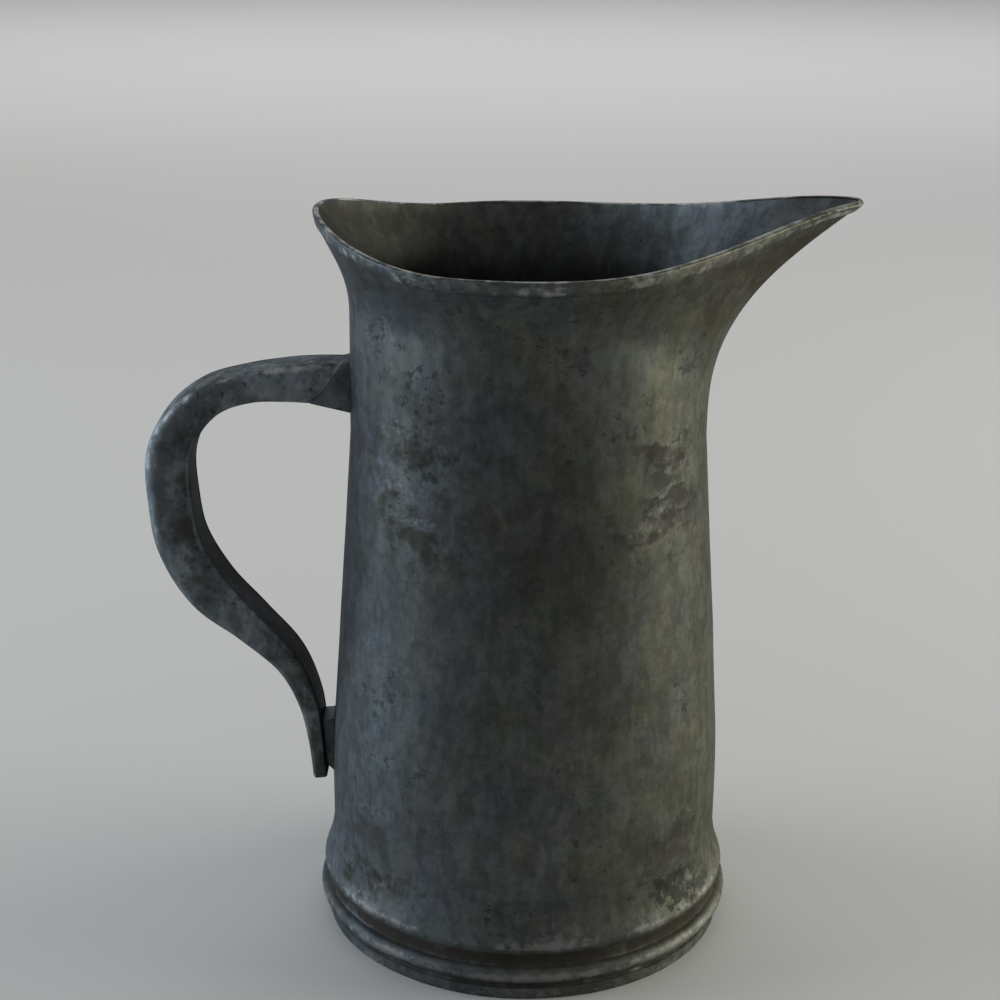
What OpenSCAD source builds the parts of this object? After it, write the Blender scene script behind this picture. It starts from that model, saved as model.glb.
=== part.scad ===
// Lipped pouring jug, soldered up from sheet metal.
// The axis of the barrel is Z, the foot rests on z = 0, the spout points along +X
// and the handle stands at -X. All sizes are in millimetres.

/* [Barrel] */
// Outside radius of the barrel's straight lower part
barrel_r = 62.1; // [58:0.1:66]
// Height at which the barrel starts to taper
taper_z = 60; // [52:1:75]
// Height over which the straight part bends into the taper
taper_bend = 16; // [4:1:24]
// Height of the barrel's top edge, where the lip collar is soldered on
neck_z = 162; // [154:1:180]
// Outside radius of the barrel's top edge and of the neck above it
neck_r = 54.9; // [50:0.1:57]
// Thickness of the sheet metal of barrel, collar and base
sheet_t = 1.2; // [0.8:0.1:1.6]

/* [Lip collar] */
// Depth of the collar's skirt inside the top of the barrel
lap_h = 8; // [4:1:14]
// Height of the neck between the barrel's top edge and the flare
neck_h = 37; // [28:1:44]
// Outside radius of the round part of the rim
lip_r = 64; // [61:0.1:70]
// Height of the rim above the barrel's top edge, midway between spout and handle
lip_h = 59.3; // [52:0.1:70]
// How late the flare bends outwards
flare_power = 2.2; // [1.4:0.1:2.8]
// How strongly the flare turns upright again below the rim
flare_ease = 1.7; // [1:0.05:2]
// Rise of the rim at the handle side
peak_rise = 9; // [0:0.5:14]
// Extra reach of the rim at the handle side
peak_out = 0.6; // [0:0.1:3]
// Distance from the axis at which the rim starts to rise towards the handle
peak_start = 25; // [10:1:40]

/* [Spout] */
// Distance of the spout's tip from the axis
spout_reach = 98.4; // [85:0.1:110]
// Plan radius of the spout's tip
spout_tip_r = 7; // [4:0.5:12]
// Rise of the rim at the spout's tip
spout_rise = 11.7; // [4:0.1:18]
// Height above the barrel's top edge at which the spout starts to swell
spout_start_h = 4; // [2:1:20]
// How late the spout bends outwards
spout_power = 2.5; // [1.6:0.1:3]
// How strongly the spout turns upright again below the rim
spout_ease = 1.15; // [1:0.05:1.5]
// Half the angle round the neck over which the spout fades into the flare
spout_spread = 65; // [50:1:90]

/* [Rim band] */
// Width of the strip soldered round the outside of the rim
band_w = 4.8; // [3.6:0.1:8]
// Thickness of the flat part of the strip
band_t = 0.8; // [0.5:0.1:1.4]
// How far the bead along the strip's top edge stands out from the collar
band_bead_t = 1.2; // [1:0.1:2.2]
// Height of that bead
band_bead_h = 1; // [0.8:0.1:2]

/* [Foot] */
// Thickness of the foot ring at its plain root, outside the barrel
foot_root_t = 2.1; // [1.6:0.1:4]
// Height of the plain band at the bottom of the foot
foot_band_h = 3.8; // [2:0.1:6]
// Height of the groove above that band
foot_groove_h = 2.2; // [1.4:0.1:4]
// Depth of that groove
foot_groove_d = 0.8; // [0.3:0.1:1]
// Height of the large lower bead
lower_bead_h = 5.2; // [3:0.1:8]
// How far the lower bead stands out
lower_bead_out = 2.5; // [1:0.1:4]
// Height of the cove between the beads
cove_h = 4.4; // [2:0.1:7]
// Depth of the cove
cove_d = 0.7; // [0.2:0.1:1]
// Height of the upper bead
upper_bead_h = 4.4; // [2:0.1:7]
// How far the upper bead stands out
upper_bead_out = 1.2; // [0.6:0.1:3]
// Height of the sweep from the upper bead up to the barrel
foot_sweep_h = 15; // [8:0.1:20]
// Thickness of the foot ring's top edge
foot_edge_t = 0.4; // [0.2:0.1:0.8]
// Width of the flat ring on which the jug stands
foot_rest_w = 6.4; // [4:0.1:12]
// Thickness of the ledge that carries the barrel and the base plate
foot_ledge_t = 3; // [2:0.1:5]

/* [Base] */
// Height by which the middle of the base is raised
base_kick = 2.5; // [0:0.1:6]
// Radius of the raised middle of the base
base_kick_r = 46; // [30:0.5:50]
// Width of the slope round the raised middle
base_slope_w = 6; // [2:0.5:8]
// Leg of the solder fillet round the inside of the base
solder_leg = 3; // [1.5:0.1:5]

/* [Handle] */
// Width of the handle
handle_w = 17; // [14:0.5:22]
// Thickness of the handle's sheet
handle_sheet_t = 1.4; // [1:0.1:2]
// Chamfer along the handle's outer edges
handle_edge = 1.6; // [0.6:0.1:2.5]
// Height of the handle's top run above the barrel's top edge
handle_above_neck = 15; // [14:0.5:17]
// Slant of the handle's upper end, as run per unit of depth
sleeve_slant = 0.75; // [0:0.05:1]
// Thickness of the strap that closes the handle's inner side
strap_t = 1; // [0.6:0.1:1.2]
// How deep the strap lies below the edges beside it
strap_recess = 0.3; // [0.1:0.1:0.6]
// Thickness of the plate that closes the handle's tail
tail_plate_t = 1.2; // [0.8:0.1:2]

/* [Brackets] */
// Length of the upper bracket's tongue inside the handle
tongue_l = 11; // [6:0.5:14]
// Height of the upper bracket above the handle's middle, at the neck
bracket_above = 7.8; // [5.5:0.1:9]
// Depth of the upper bracket below the handle's middle, at the neck
bracket_below = 9; // [5.5:0.1:10]
// Width of the lower strut
strut_w = 11; // [6:0.5:13]
// Distance of the strut's lower end above the handle's tail
strut_above_tail = 2.3; // [0.5:0.1:8]
// Height of the strut
strut_h = 16; // [10:0.5:17]
// How much further down the strut reaches at the barrel
strut_flare = 2.8; // [0:0.1:5]

/* [Fits] */
// Solder film between pieces that fit together
solder_gap = 0.1; // [0.05:0.05:0.2]
// Solder film between the rim band and the collar
band_gap = 0.2; // [0.15:0.05:0.3]
// Free room round the upper bracket's tongue
tongue_gap = 0.3; // [0.2:0.05:0.5]

/* [Hidden] */
$fn = 120;

// Middle line of the handle from the bracket down to the tail: distance out from the wall,
// drop below the top run, and thickness of the handle there
HANDLE_ROUTE = [
    [6.6, 0, 12],
    [17, 0, 11],
    [30, 1, 9.8],
    [42, 4.8, 10.8],
    [51, 13, 13],
    [55.2, 24, 14.4],
    [54.2, 38, 14.6],
    [50.7, 53, 14.9],
    [41.4, 68, 14.8],
    [28, 80, 11.2],
    [15.5, 92, 8.7],
    [8.3, 105.5, 7],
    [5.2, 119, 5.5],
    [4.1, 129.8, 4.8]
];
// Sections along the handle between one route point and the next
ROUTE_STEPS = 4;

// Sections round the collar: from the spout's tip to where its sides meet the round rim,
// and from there to the handle
SPOUT_STEPS = 12;
ROUND_STEPS = 24;
// How much closer the sections stand towards the spout's tip
SPOUT_CROWDING = 1.6;
// Rows of points up the flare
FLARE_ROWS = 16;
// Shape of the rim's rise towards the spout's tip
SPOUT_RISE_POWER = 1.55;
// Height over which the collar steps in to its skirt
SKIRT_STEP_H = 3;
// Points along a rounded part of a profile, and along the barrel's bend
ARC_STEPS = 10;
BEND_STEPS = 8;
// Angle at which the foot's upper bead runs out into the sweep above it
BEAD_END_A = 60;
// Steps for measuring slopes on the lip's surface, in degrees and in parts of the flare
SLOPE_A = 0.2;
SLOPE_S = 0.01;
// Part of the flare below the rim over which distances down from the rim are measured
RIM_S = 0.05;

// The lip's plan is a circle with a pointed spout: two straight sides touch the circle and
// meet in a small arc at the tip
spout_apex = (spout_reach - spout_tip_r) / (1 - spout_tip_r / lip_r);
tangent_a = acos(lip_r / spout_apex);
tip_x = spout_reach - spout_tip_r;
tip_a = atan2(spout_tip_r * sin(tangent_a), tip_x + spout_tip_r * cos(tangent_a));
lip_z = neck_z + lip_h;

foot_r = barrel_r + foot_root_t;
groove_z = foot_band_h;
lower_bead_z = groove_z + foot_groove_h;
cove_z = lower_bead_z + lower_bead_h;
upper_bead_z = cove_z + cove_h;
sweep_z = upper_bead_z + upper_bead_h;
foot_top_z = sweep_z + foot_sweep_h;
foot_bore_r = barrel_r + solder_gap;
rest_r = foot_r - foot_rest_w;

barrel_bottom_z = foot_ledge_t;
base_r = barrel_r - sheet_t - solder_gap;
base_z = foot_ledge_t;

handle_z = neck_z + handle_above_neck;
tail_z = handle_z - HANDLE_ROUTE[len(HANDLE_ROUTE) - 1][1];
sleeve_half_t = HANDLE_ROUTE[0][2] / 2;
sleeve_end_x = -(neck_r + HANDLE_ROUTE[0][0]);
gutter_in_w = handle_w - 2 * handle_sheet_t;
strap_w = gutter_in_w - 2 * solder_gap;

function smooth(t) = t * t * (3 - 2 * t);
function unit(v) = v / norm(v);

// Angle from the spout, 0 to 180, on either side
function fold(a) = abs(a) > 180 ? 360 - abs(a) : abs(a);

// Points on an elliptic arc in a profile of radius and height
function arc(centre, radii, from, to) = [
    for (k = [0 : ARC_STEPS])
        let (t = from + (to - from) * k / ARC_STEPS)
        [centre[0] + radii[0] * cos(t), centre[1] + radii[1] * sin(t)]
];

// Outside radius of the barrel: straight, then a bend, then a straight taper to the neck
taper_slope = (barrel_r - neck_r) / (neck_z - taper_z);
function barrel_radius(z) =
    let (d = z - taper_z, h = taper_bend / 2)
    d <= -h ? barrel_r
    : d >= h ? barrel_r - taper_slope * d
    : barrel_r - taper_slope * pow(d + h, 2) / (4 * h);

// Radius of the wall that the handle follows
function wall_radius(z) = z >= neck_z ? neck_r : barrel_radius(z);

barrel_levels = concat(
    [barrel_bottom_z],
    [for (k = [0 : BEND_STEPS]) taper_z + taper_bend * (k / BEND_STEPS - 0.5)],
    [neck_z]
);
function barrel_line(out) = [for (z = barrel_levels) [barrel_radius(z) + out, z]];
function reversed(list) = [for (k = [len(list) - 1 : -1 : 0]) list[k]];

// Share of the spout and of the handle-side peak at an angle round the lip
function spout_share(a) = pow(cos(90 * min(1, fold(a) / spout_spread)), 2);
function peak_share(a) = pow(max(0, (-lip_r * cos(a) - peak_start) / (lip_r - peak_start)), 2);

function rim_radius(a0) =
    let (a = fold(a0))
    (a <= tip_a ? tip_x * cos(a) + sqrt(pow(spout_tip_r, 2) - pow(tip_x * sin(a), 2))
     : a <= tangent_a ? lip_r / cos(tangent_a - a)
     : lip_r) + peak_out * peak_share(a);

function rim_height(a) =
    let (along = min(1, max(0, rim_radius(a) * cos(a) / spout_reach)))
    lip_z + spout_rise * smooth(pow(along, SPOUT_RISE_POWER)) + peak_rise * peak_share(a);

function flare_height(a) = neck_z + neck_h + (spout_start_h - neck_h) * spout_share(a);

// Share of the flare's reach at a share of its height
function flare_share(a, s) =
    let (
        power = flare_power + (spout_power - flare_power) * spout_share(a),
        ease = flare_ease + (spout_ease - flare_ease) * spout_share(a),
        bent = pow(max(0, min(1, s)), power)
    )
    1 - pow(1 - bent, ease);

// Outer surface of the lip at an angle and a share of the flare's height
function lip_point(a, s) =
    let (
        z0 = flare_height(a),
        r = neck_r + (rim_radius(a) - neck_r) * flare_share(a, s)
    )
    [r * cos(a), r * sin(a), z0 + (rim_height(a) - z0) * s];

// Direction out of that surface; at the rim it is the one just below the edge
function lip_normal(a, s0) =
    let (s = min(s0, 1 - 2 * SLOPE_S))
    unit(cross(
        lip_point(a + SLOPE_A, s) - lip_point(a - SLOPE_A, s),
        lip_point(a, s + SLOPE_S) - lip_point(a, s - SLOPE_S)
    ));

// Point beside the lip's outer surface: distance down from the rim, and distance out
function beside_rim(a, down, out) =
    let (
        length_per_share = norm(lip_point(a, 1) - lip_point(a, 1 - RIM_S)) / RIM_S,
        s = 1 - down / length_per_share
    )
    lip_point(a, s) + out * lip_normal(a, s);

half_turn = concat(
    [for (k = [0 : SPOUT_STEPS - 1]) tangent_a * pow(k / SPOUT_STEPS, SPOUT_CROWDING)],
    [for (k = [0 : ROUND_STEPS - 1]) tangent_a + (180 - tangent_a) * k / ROUND_STEPS]
);
lip_angles = concat(half_turn, [180], [for (k = [len(half_turn) - 1 : -1 : 1]) -half_turn[k]]);

// Points at one height on a plain circle, seen as a part of a section
function on_ring(a, r, z) = [r * cos(a), r * sin(a), z];

// One upright section through the lip collar, from the rim down outside and up inside
function collar_section(a) =
    let (
        skirt_z = neck_z - lap_h,
        skirt_top_r = neck_r - sheet_t - solder_gap,
        skirt_low_r = barrel_radius(skirt_z) - sheet_t - solder_gap
    )
    concat(
        [for (k = [FLARE_ROWS : -1 : 0]) lip_point(a, k / FLARE_ROWS)],
        [
            on_ring(a, neck_r, neck_z + solder_gap),
            on_ring(a, skirt_top_r, neck_z + solder_gap),
            on_ring(a, skirt_low_r, skirt_z),
            on_ring(a, skirt_low_r - sheet_t, skirt_z),
            on_ring(a, skirt_top_r - sheet_t, neck_z),
            on_ring(a, neck_r - sheet_t, neck_z + SKIRT_STEP_H)
        ],
        [
            for (k = [0 : FLARE_ROWS])
                let (s = k / FLARE_ROWS)
                lip_point(a, s) - sheet_t * lip_normal(a, s)
        ]
    );

// One section through the rim band: a bead along the top, a crevice, then a flat strip
function band_section(a) =
    let (
        shoulder_t = 0.7 * band_bead_t,
        bead_round = 0.25 * band_bead_h,
        edge_t = 0.5 * band_t,
        crevice = band_bead_h + edge_t / 2,
        profile = [
            [0, band_gap],
            [0, shoulder_t],
            [bead_round, band_bead_t],
            [band_bead_h - bead_round, band_bead_t],
            [band_bead_h, shoulder_t],
            [crevice, edge_t],
            [crevice + edge_t, band_t],
            [band_w - edge_t, band_t],
            [band_w, edge_t],
            [band_w, band_gap],
            [band_w * 2 / 3, band_gap],
            [band_w / 3, band_gap]
        ]
    )
    [for (p = profile) beside_rim(a, p[0], p[1])];

// Triangles between neighbouring sections of as many points each
function strip_faces(sections, points, closed) = [
    for (i = [0 : sections - (closed ? 1 : 2)], j = [0 : points - 1])
        let (
            a = i * points + j,
            b = i * points + (j + 1) % points,
            c = (i + 1) % sections * points + (j + 1) % points,
            d = (i + 1) % sections * points + j
        )
        each [[a, b, c], [a, c, d]]
];

// Ring of sections that closes on itself
module ring_of(sections) {
    points = len(sections[0]);
    polyhedron([for (s = sections) each s], strip_faces(len(sections), points, true));
}

// Run of sections with a flat end face at either end, which is given as pieces
module run_of(sections, end_pieces) {
    points = len(sections[0]);
    last = (len(sections) - 1) * points;
    polyhedron(
        [for (s = sections) each s],
        concat(
            strip_faces(len(sections), points, false),
            [for (piece = end_pieces) reversed(piece)],
            [for (piece = end_pieces) [for (j = piece) last + j]]
        )
    );
}
// End face of a gutter: a wall on either side, the corners and the back
GUTTER_END = [[0, 1, 8, 9], [1, 2, 8], [2, 3, 7, 8], [3, 4, 7], [4, 5, 6, 7]];
STRAP_END = [[0, 1, 2, 3]];
TAIL_END = [[0, 1, 2, 3, 4, 5]];

// Handle's middle line as [x, z, thickness], through the route's points on a smooth curve
route_points = [
    for (p = HANDLE_ROUTE)
        let (z = handle_z - p[1])
        [-(wall_radius(z) + p[0]), z, p[2]]
];
route_last = len(route_points) - 1;
function route_at(k) = route_points[max(0, min(route_last, k))];
function curve_point(k, t) =
    let (
        p = route_at(k),
        q = route_at(k + 1),
        m = (q - route_at(k - 1)) / 2,
        n = (route_at(k + 2) - p) / 2
    )
    p * (1 + t * t * (2 * t - 3)) + q * (t * t * (3 - 2 * t))
    + m * (t * (1 - t) * (1 - t)) + n * (t * t * (t - 1));
handle_line = concat(
    [for (k = [0 : route_last - 1], j = [0 : ROUTE_STEPS - 1]) curve_point(k, j / ROUTE_STEPS)],
    [route_points[route_last]]
);
line_last = len(handle_line) - 1;
function line_at(k) = handle_line[max(0, min(line_last, k))];

// Direction along the handle's middle line, and the one square to it that points outwards
function along(k) = let (d = line_at(k + 1) - line_at(k - 1)) unit([d[0], d[1]]);
function outward(k) = let (d = along(k)) [d[1], -d[0]];

// Point of the handle at a section, from its place across the handle and out from the middle.
// The first section is slanted, and the next ones lean less and less.
function handle_point(k, across, out, ahead = 0) =
    let (
        p = line_at(k),
        d = along(k),
        o = outward(k),
        lean = sleeve_slant * max(0, 1 - k / ROUTE_STEPS),
        push = ahead - lean * out,
        x = p[0] + o[0] * out + d[0] * push,
        z = p[1] + o[1] * out + d[1] * push
    )
    [x, across, z];

// Outline of the handle's outer side: straight sides, chamfered edges
function handle_outline(k) =
    let (w = handle_w / 2, h = line_at(k)[2] / 2, e = handle_edge)
    [[-w, -h], [-w, h - e], [-w + e, h], [w - e, h], [w, h - e], [w, -h]];

function gutter_section(k) =
    let (w = gutter_in_w / 2, h = line_at(k)[2] / 2)
    [
        for (p = concat(
            handle_outline(k),
            [[w, -h], [w, h - handle_sheet_t], [-w, h - handle_sheet_t], [-w, -h]]
        ))
            handle_point(k, p[0], p[1])
    ];

// Depth of the strap's two faces, measured out from the handle's middle
function strap_inner(k) = strap_recess - line_at(k)[2] / 2;
function strap_outer(k) = strap_inner(k) + strap_t;

function strap_section(k) =
    let (w = strap_w / 2)
    [
        for (p = [[-w, strap_inner(k)], [-w, strap_outer(k)], [w, strap_outer(k)], [w, strap_inner(k)]])
            handle_point(k, p[0], p[1])
    ];

function tail_section(ahead) = [
    for (p = handle_outline(line_last)) handle_point(line_last, p[0], p[1], ahead)
];

module barrel() color([0.30, 0.31, 0.32])
    rotate_extrude()
        polygon(concat(barrel_line(0), reversed(barrel_line(-sheet_t))));

module lip_collar() color([0.33, 0.34, 0.35])
    ring_of([for (a = lip_angles) collar_section(a)]);

module rim_band() color([0.42, 0.43, 0.42])
    ring_of([for (a = lip_angles) reversed(band_section(-a))]);

module foot_ring() color([0.35, 0.35, 0.35])
    rotate_extrude()
        polygon(concat(
            [[rest_r, 0], [foot_r, 0], [foot_r, groove_z]],
            hollow(groove_z, foot_groove_h, foot_groove_d),
            bead(lower_bead_z, lower_bead_h, lower_bead_out, 90),
            hollow(cove_z, cove_h, cove_d),
            bead(upper_bead_z, upper_bead_h, upper_bead_out, BEAD_END_A),
            foot_sweep,
            [[foot_bore_r, foot_top_z], [foot_bore_r, foot_ledge_t], [rest_r, foot_ledge_t]]
        ));

// A hollow and a bead on the foot's outline, from the bottom upwards
function hollow(z, h, depth) = arc([foot_r, z + h / 2], [depth, h / 2], 270, 90);
function bead(z, h, out, end_a) = arc([foot_r, z + h / 2], [out, h / 2], -90, end_a);

// Hollow sweep from the upper bead up to the ring's thin top edge
sweep_foot_r = foot_r + upper_bead_out * cos(BEAD_END_A);
foot_sweep = [
    for (k = [1 : ARC_STEPS])
        let (t = k / ARC_STEPS, edge_r = foot_bore_r + foot_edge_t)
        [edge_r + (sweep_foot_r - edge_r) * pow(1 - t, 2), sweep_z + foot_sweep_h * t]
];

module base_plate() color([0.28, 0.28, 0.29])
    rotate_extrude()
        polygon([
            [0, base_z + base_kick],
            [base_kick_r, base_z + base_kick],
            [base_kick_r + base_slope_w, base_z],
            [base_r, base_z],
            [base_r, base_z + sheet_t],
            [base_kick_r + base_slope_w, base_z + sheet_t],
            [base_kick_r, base_z + base_kick + sheet_t],
            [0, base_z + base_kick + sheet_t]
        ]);

// Fillet between the base plate's edge and the inside of the barrel
module base_solder() color([0.45, 0.45, 0.46]) {
    wall_r = barrel_r - sheet_t;
    floor_z = base_z + sheet_t;
    rotate_extrude()
        polygon(concat(
            [[wall_r, floor_z]],
            arc([wall_r - solder_leg, floor_z + solder_leg], [solder_leg, solder_leg], 0, -90)
        ));
}

module handle_gutter() color([0.33, 0.34, 0.34])
    run_of([for (k = [0 : line_last]) gutter_section(k)], GUTTER_END);

module handle_strap() color([0.27, 0.27, 0.27])
    run_of([for (k = [0 : line_last]) strap_section(k)], STRAP_END);

module tail_plate() color([0.30, 0.30, 0.30])
    run_of([tail_section(solder_gap), tail_section(solder_gap + tail_plate_t)], TAIL_END);

// Side view turned into a plate of a width across the jug
module side_plate(outline, width)
    rotate([90, 0, 0])
        linear_extrude(height = width, center = true)
            polygon(outline);

// The bracket's tongue fills the handle's end, and its shoulder follows the slanted end
module upper_bracket() color([0.24, 0.24, 0.25]) {
    low = strap_outer(0) + tongue_gap;
    high = sleeve_half_t - handle_sheet_t - tongue_gap;
    tongue_x = sleeve_end_x - tongue_l;
    difference() {
        side_plate([
            [tongue_x, handle_z + low],
            [shoulder_x(low), handle_z + low],
            [shoulder_x(-sleeve_half_t), handle_z - sleeve_half_t],
            [-neck_r, handle_z - bracket_below],
            [0, handle_z - bracket_below],
            [0, handle_z + bracket_above],
            [-neck_r, handle_z + bracket_above],
            [shoulder_x(sleeve_half_t), handle_z + sleeve_half_t],
            [shoulder_x(high), handle_z + high],
            [tongue_x, handle_z + high]
        ], strap_w);
        translate([0, 0, handle_z - 2 * bracket_below])
            cylinder(r = neck_r + solder_gap, h = 4 * bracket_below);
    }
}
function shoulder_x(out) = sleeve_end_x + sleeve_slant * out + tongue_gap;

// The strut stands on the barrel and meets the strap's inner face
module lower_strut() color([0.24, 0.24, 0.25]) {
    low_z = tail_z + strut_above_tail;
    top_z = low_z + strut_h;
    seat = [
        for (k = [0 : line_last])
            let (p = handle_point(k, 0, strap_inner(k) - solder_gap))
            if (p[2] < top_z && p[2] > low_z) [p[0], p[2]]
    ];
    difference() {
        side_plate(concat(
            [[0, top_z]],
            [[seat_x(top_z), top_z]],
            seat,
            [[seat_x(low_z), low_z]],
            [[-barrel_r, low_z - strut_flare], [0, low_z - strut_flare]]
        ), strut_w);
        rotate_extrude()
            polygon(concat(
                [[0, barrel_bottom_z]],
                barrel_line(solder_gap),
                [[0, neck_z]]
            ));
    }
}
// Place of the strut's seat on the strap at a height
function seat_x(z) = lookup(z, [
    for (k = [0 : line_last])
        let (p = handle_point(k, 0, strap_inner(k) - solder_gap))
        if (p[2] < tail_z + 2 * strut_h) [p[2], p[0]]
]);

barrel();
lip_collar();
rim_band();
foot_ring();
base_plate();
base_solder();
handle_gutter();
handle_strap();
tail_plate();
upper_bracket();
lower_strut();
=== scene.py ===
"""Dresses the lipped jug in worn sheet metal, around its packed frame, and sets the stage."""

from collections import namedtuple
from math import acos, atan2, cos, pi, radians, sin, sqrt

import bpy
from bpy.props import FloatProperty, FloatVectorProperty, PointerProperty
from mathutils import Matrix, Vector


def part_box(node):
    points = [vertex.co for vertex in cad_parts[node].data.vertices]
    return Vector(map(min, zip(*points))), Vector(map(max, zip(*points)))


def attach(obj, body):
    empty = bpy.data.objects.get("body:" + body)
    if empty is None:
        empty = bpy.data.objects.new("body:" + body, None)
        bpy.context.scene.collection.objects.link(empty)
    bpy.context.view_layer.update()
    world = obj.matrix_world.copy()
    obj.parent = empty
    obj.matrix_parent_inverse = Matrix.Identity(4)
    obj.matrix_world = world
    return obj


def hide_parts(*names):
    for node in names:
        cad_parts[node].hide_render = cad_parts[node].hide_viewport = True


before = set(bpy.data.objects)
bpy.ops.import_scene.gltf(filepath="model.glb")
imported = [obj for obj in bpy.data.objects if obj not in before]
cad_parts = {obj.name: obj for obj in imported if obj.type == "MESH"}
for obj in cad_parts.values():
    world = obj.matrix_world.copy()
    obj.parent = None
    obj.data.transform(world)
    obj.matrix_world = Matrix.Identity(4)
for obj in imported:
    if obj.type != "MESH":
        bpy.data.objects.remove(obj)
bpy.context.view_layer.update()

bl_info = {
    "name": "Lipped jug",
    "version": (1, 0, 0),
    "blender": (4, 5, 0),
    "location": "3D View > Sidebar > Jug",
    "description": "Worn sheet metal for a soldered pouring jug",
    "category": "Add Mesh",
}

MM = 0.001
BODY = "root"

# Sizes that come straight from the solids
BARREL_LOW, BARREL_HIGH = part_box("barrel")
COLLAR_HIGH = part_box("lip_collar")[1]
FOOT_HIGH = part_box("foot_ring")[1]
BASE_LOW, BASE_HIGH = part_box("base_plate")
GUTTER_LOW, GUTTER_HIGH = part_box("handle_gutter")
STRAP_LOW, STRAP_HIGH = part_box("handle_strap")
STRUT_LOW, STRUT_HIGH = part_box("lower_strut")

# Middle line of the handle from the bracket down to the tail, in millimetres:
# distance out from the wall, drop below the top run, and thickness of the handle there
HANDLE_ROUTE = (
    (6.6, 0, 12),
    (17, 0, 11),
    (30, 1, 9.8),
    (42, 4.8, 10.8),
    (51, 13, 13),
    (55.2, 24, 14.4),
    (54.2, 38, 14.6),
    (50.7, 53, 14.9),
    (41.4, 68, 14.8),
    (28, 80, 11.2),
    (15.5, 92, 8.7),
    (8.3, 105.5, 7),
    (5.2, 119, 5.5),
    (4.1, 129.8, 4.8),
)

# Rows and steps of the meshes
ROUND_SEGMENTS = 224
BARREL_ROWS = 48
LIP_ROWS = 72
SPOUT_STEPS = 44
ROUND_STEPS = 96
SPOUT_CROWDING = 1.6
ROUTE_STEPS = 10
LEAN_STEPS = 10
END_STEPS = 5
SWELL_STEPS = 24
ARC_STEPS = 14
CORNER_STEPS = 8
SLOPE_STEPS = 8
PLATE_COLUMNS = 9

# The lathe turns its profile round a circle of this radius
AXIS_R = 1 * MM
# Faces that meet at more than these angles stay sharp, or get a rounded edge
SHARP_ANGLE = radians(38)
ROUNDED_ANGLE = radians(32)
# Shape of the rim's rise towards the spout's tip
SPOUT_RISE_POWER = 1.55
# Share of the way up to the rim at which the lip's sheet ends under the band's round edge
LIP_EDGE = 0.985
# Part of the flare below the rim over which distances down from the rim are measured
RIM_SHARE = 0.05
# How far the band's round edge turns over the rim, from inside to outside
EDGE_TURN = radians(205)
# Where the band is rubbed more: on the handle's side of the axis, and down from its edge
BAND_HANDLE_SIDE = (-45 * MM, -20 * MM)
BAND_STRIP = (0.6 * MM, 1.6 * MM)
# Drop below the top run of the handle over which its edges get less rubbed
RUB_DROP = 24 * MM
# How much less they are rubbed there
RUB_LOSS = 0.55
# Share of its width by which the handle's upper end is pinched in
PINCH = 0.13
# How far the foot's upper bead turns past its crest before the sweep takes over
CREST_TURN = radians(40)
# How far a soldered-on piece sinks into the wall that it stands on
SOLDER_SINK = 0.6 * MM


def length_prop(name, description, default):
    return FloatProperty(name=name, description=description, default=default, min=0.0, unit="LENGTH")


def share_prop(name, description, default):
    return FloatProperty(name=name, description=description, default=default, min=0.0)


def power_prop(name, description, default):
    return FloatProperty(name=name, description=description, default=default, min=0.0, unit="POWER")


def colour_prop(name, description, default):
    return FloatVectorProperty(
        name=name, description=description, default=default, min=0.0, max=1.0, size=3, subtype="COLOR"
    )


class JugWallSizes(bpy.types.PropertyGroup):
    """Sizes of the barrel and of the base inside it."""

    radius: length_prop("Radius", "Outside radius of the straight lower part", BARREL_HIGH.x)
    bottom: length_prop("Bottom", "Height of the barrel's lower edge", BARREL_LOW.z)
    neck_height: length_prop("Neck height", "Height of the barrel's top edge", BARREL_HIGH.z)
    neck_radius: length_prop("Neck radius", "Outside radius of the barrel's top edge", 54.9 * MM)
    taper_height: length_prop("Taper height", "Height at which the taper starts", 60 * MM)
    taper_bend: length_prop("Taper bend", "Height over which the wall bends into the taper", 16 * MM)
    sheet: length_prop("Sheet", "Thickness of the sheet metal", 1.2 * MM)
    base_radius: length_prop("Base radius", "Radius of the base plate", BASE_HIGH.x)
    base_height: length_prop("Base height", "Height of the base plate's underside", BASE_LOW.z)
    kick: length_prop("Kick", "Rise of the middle of the base plate", 2.5 * MM)
    kick_radius: length_prop("Kick radius", "Radius of the raised middle", 46 * MM)
    kick_slope: length_prop("Kick slope", "Width of the slope round the raised middle", 6 * MM)
    solder_leg: length_prop("Solder leg", "Width of the solder fillet round the base", 3 * MM)
    unevenness: length_prop("Unevenness", "Depth of the hand-beaten unevenness", 0.4 * MM)


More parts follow.
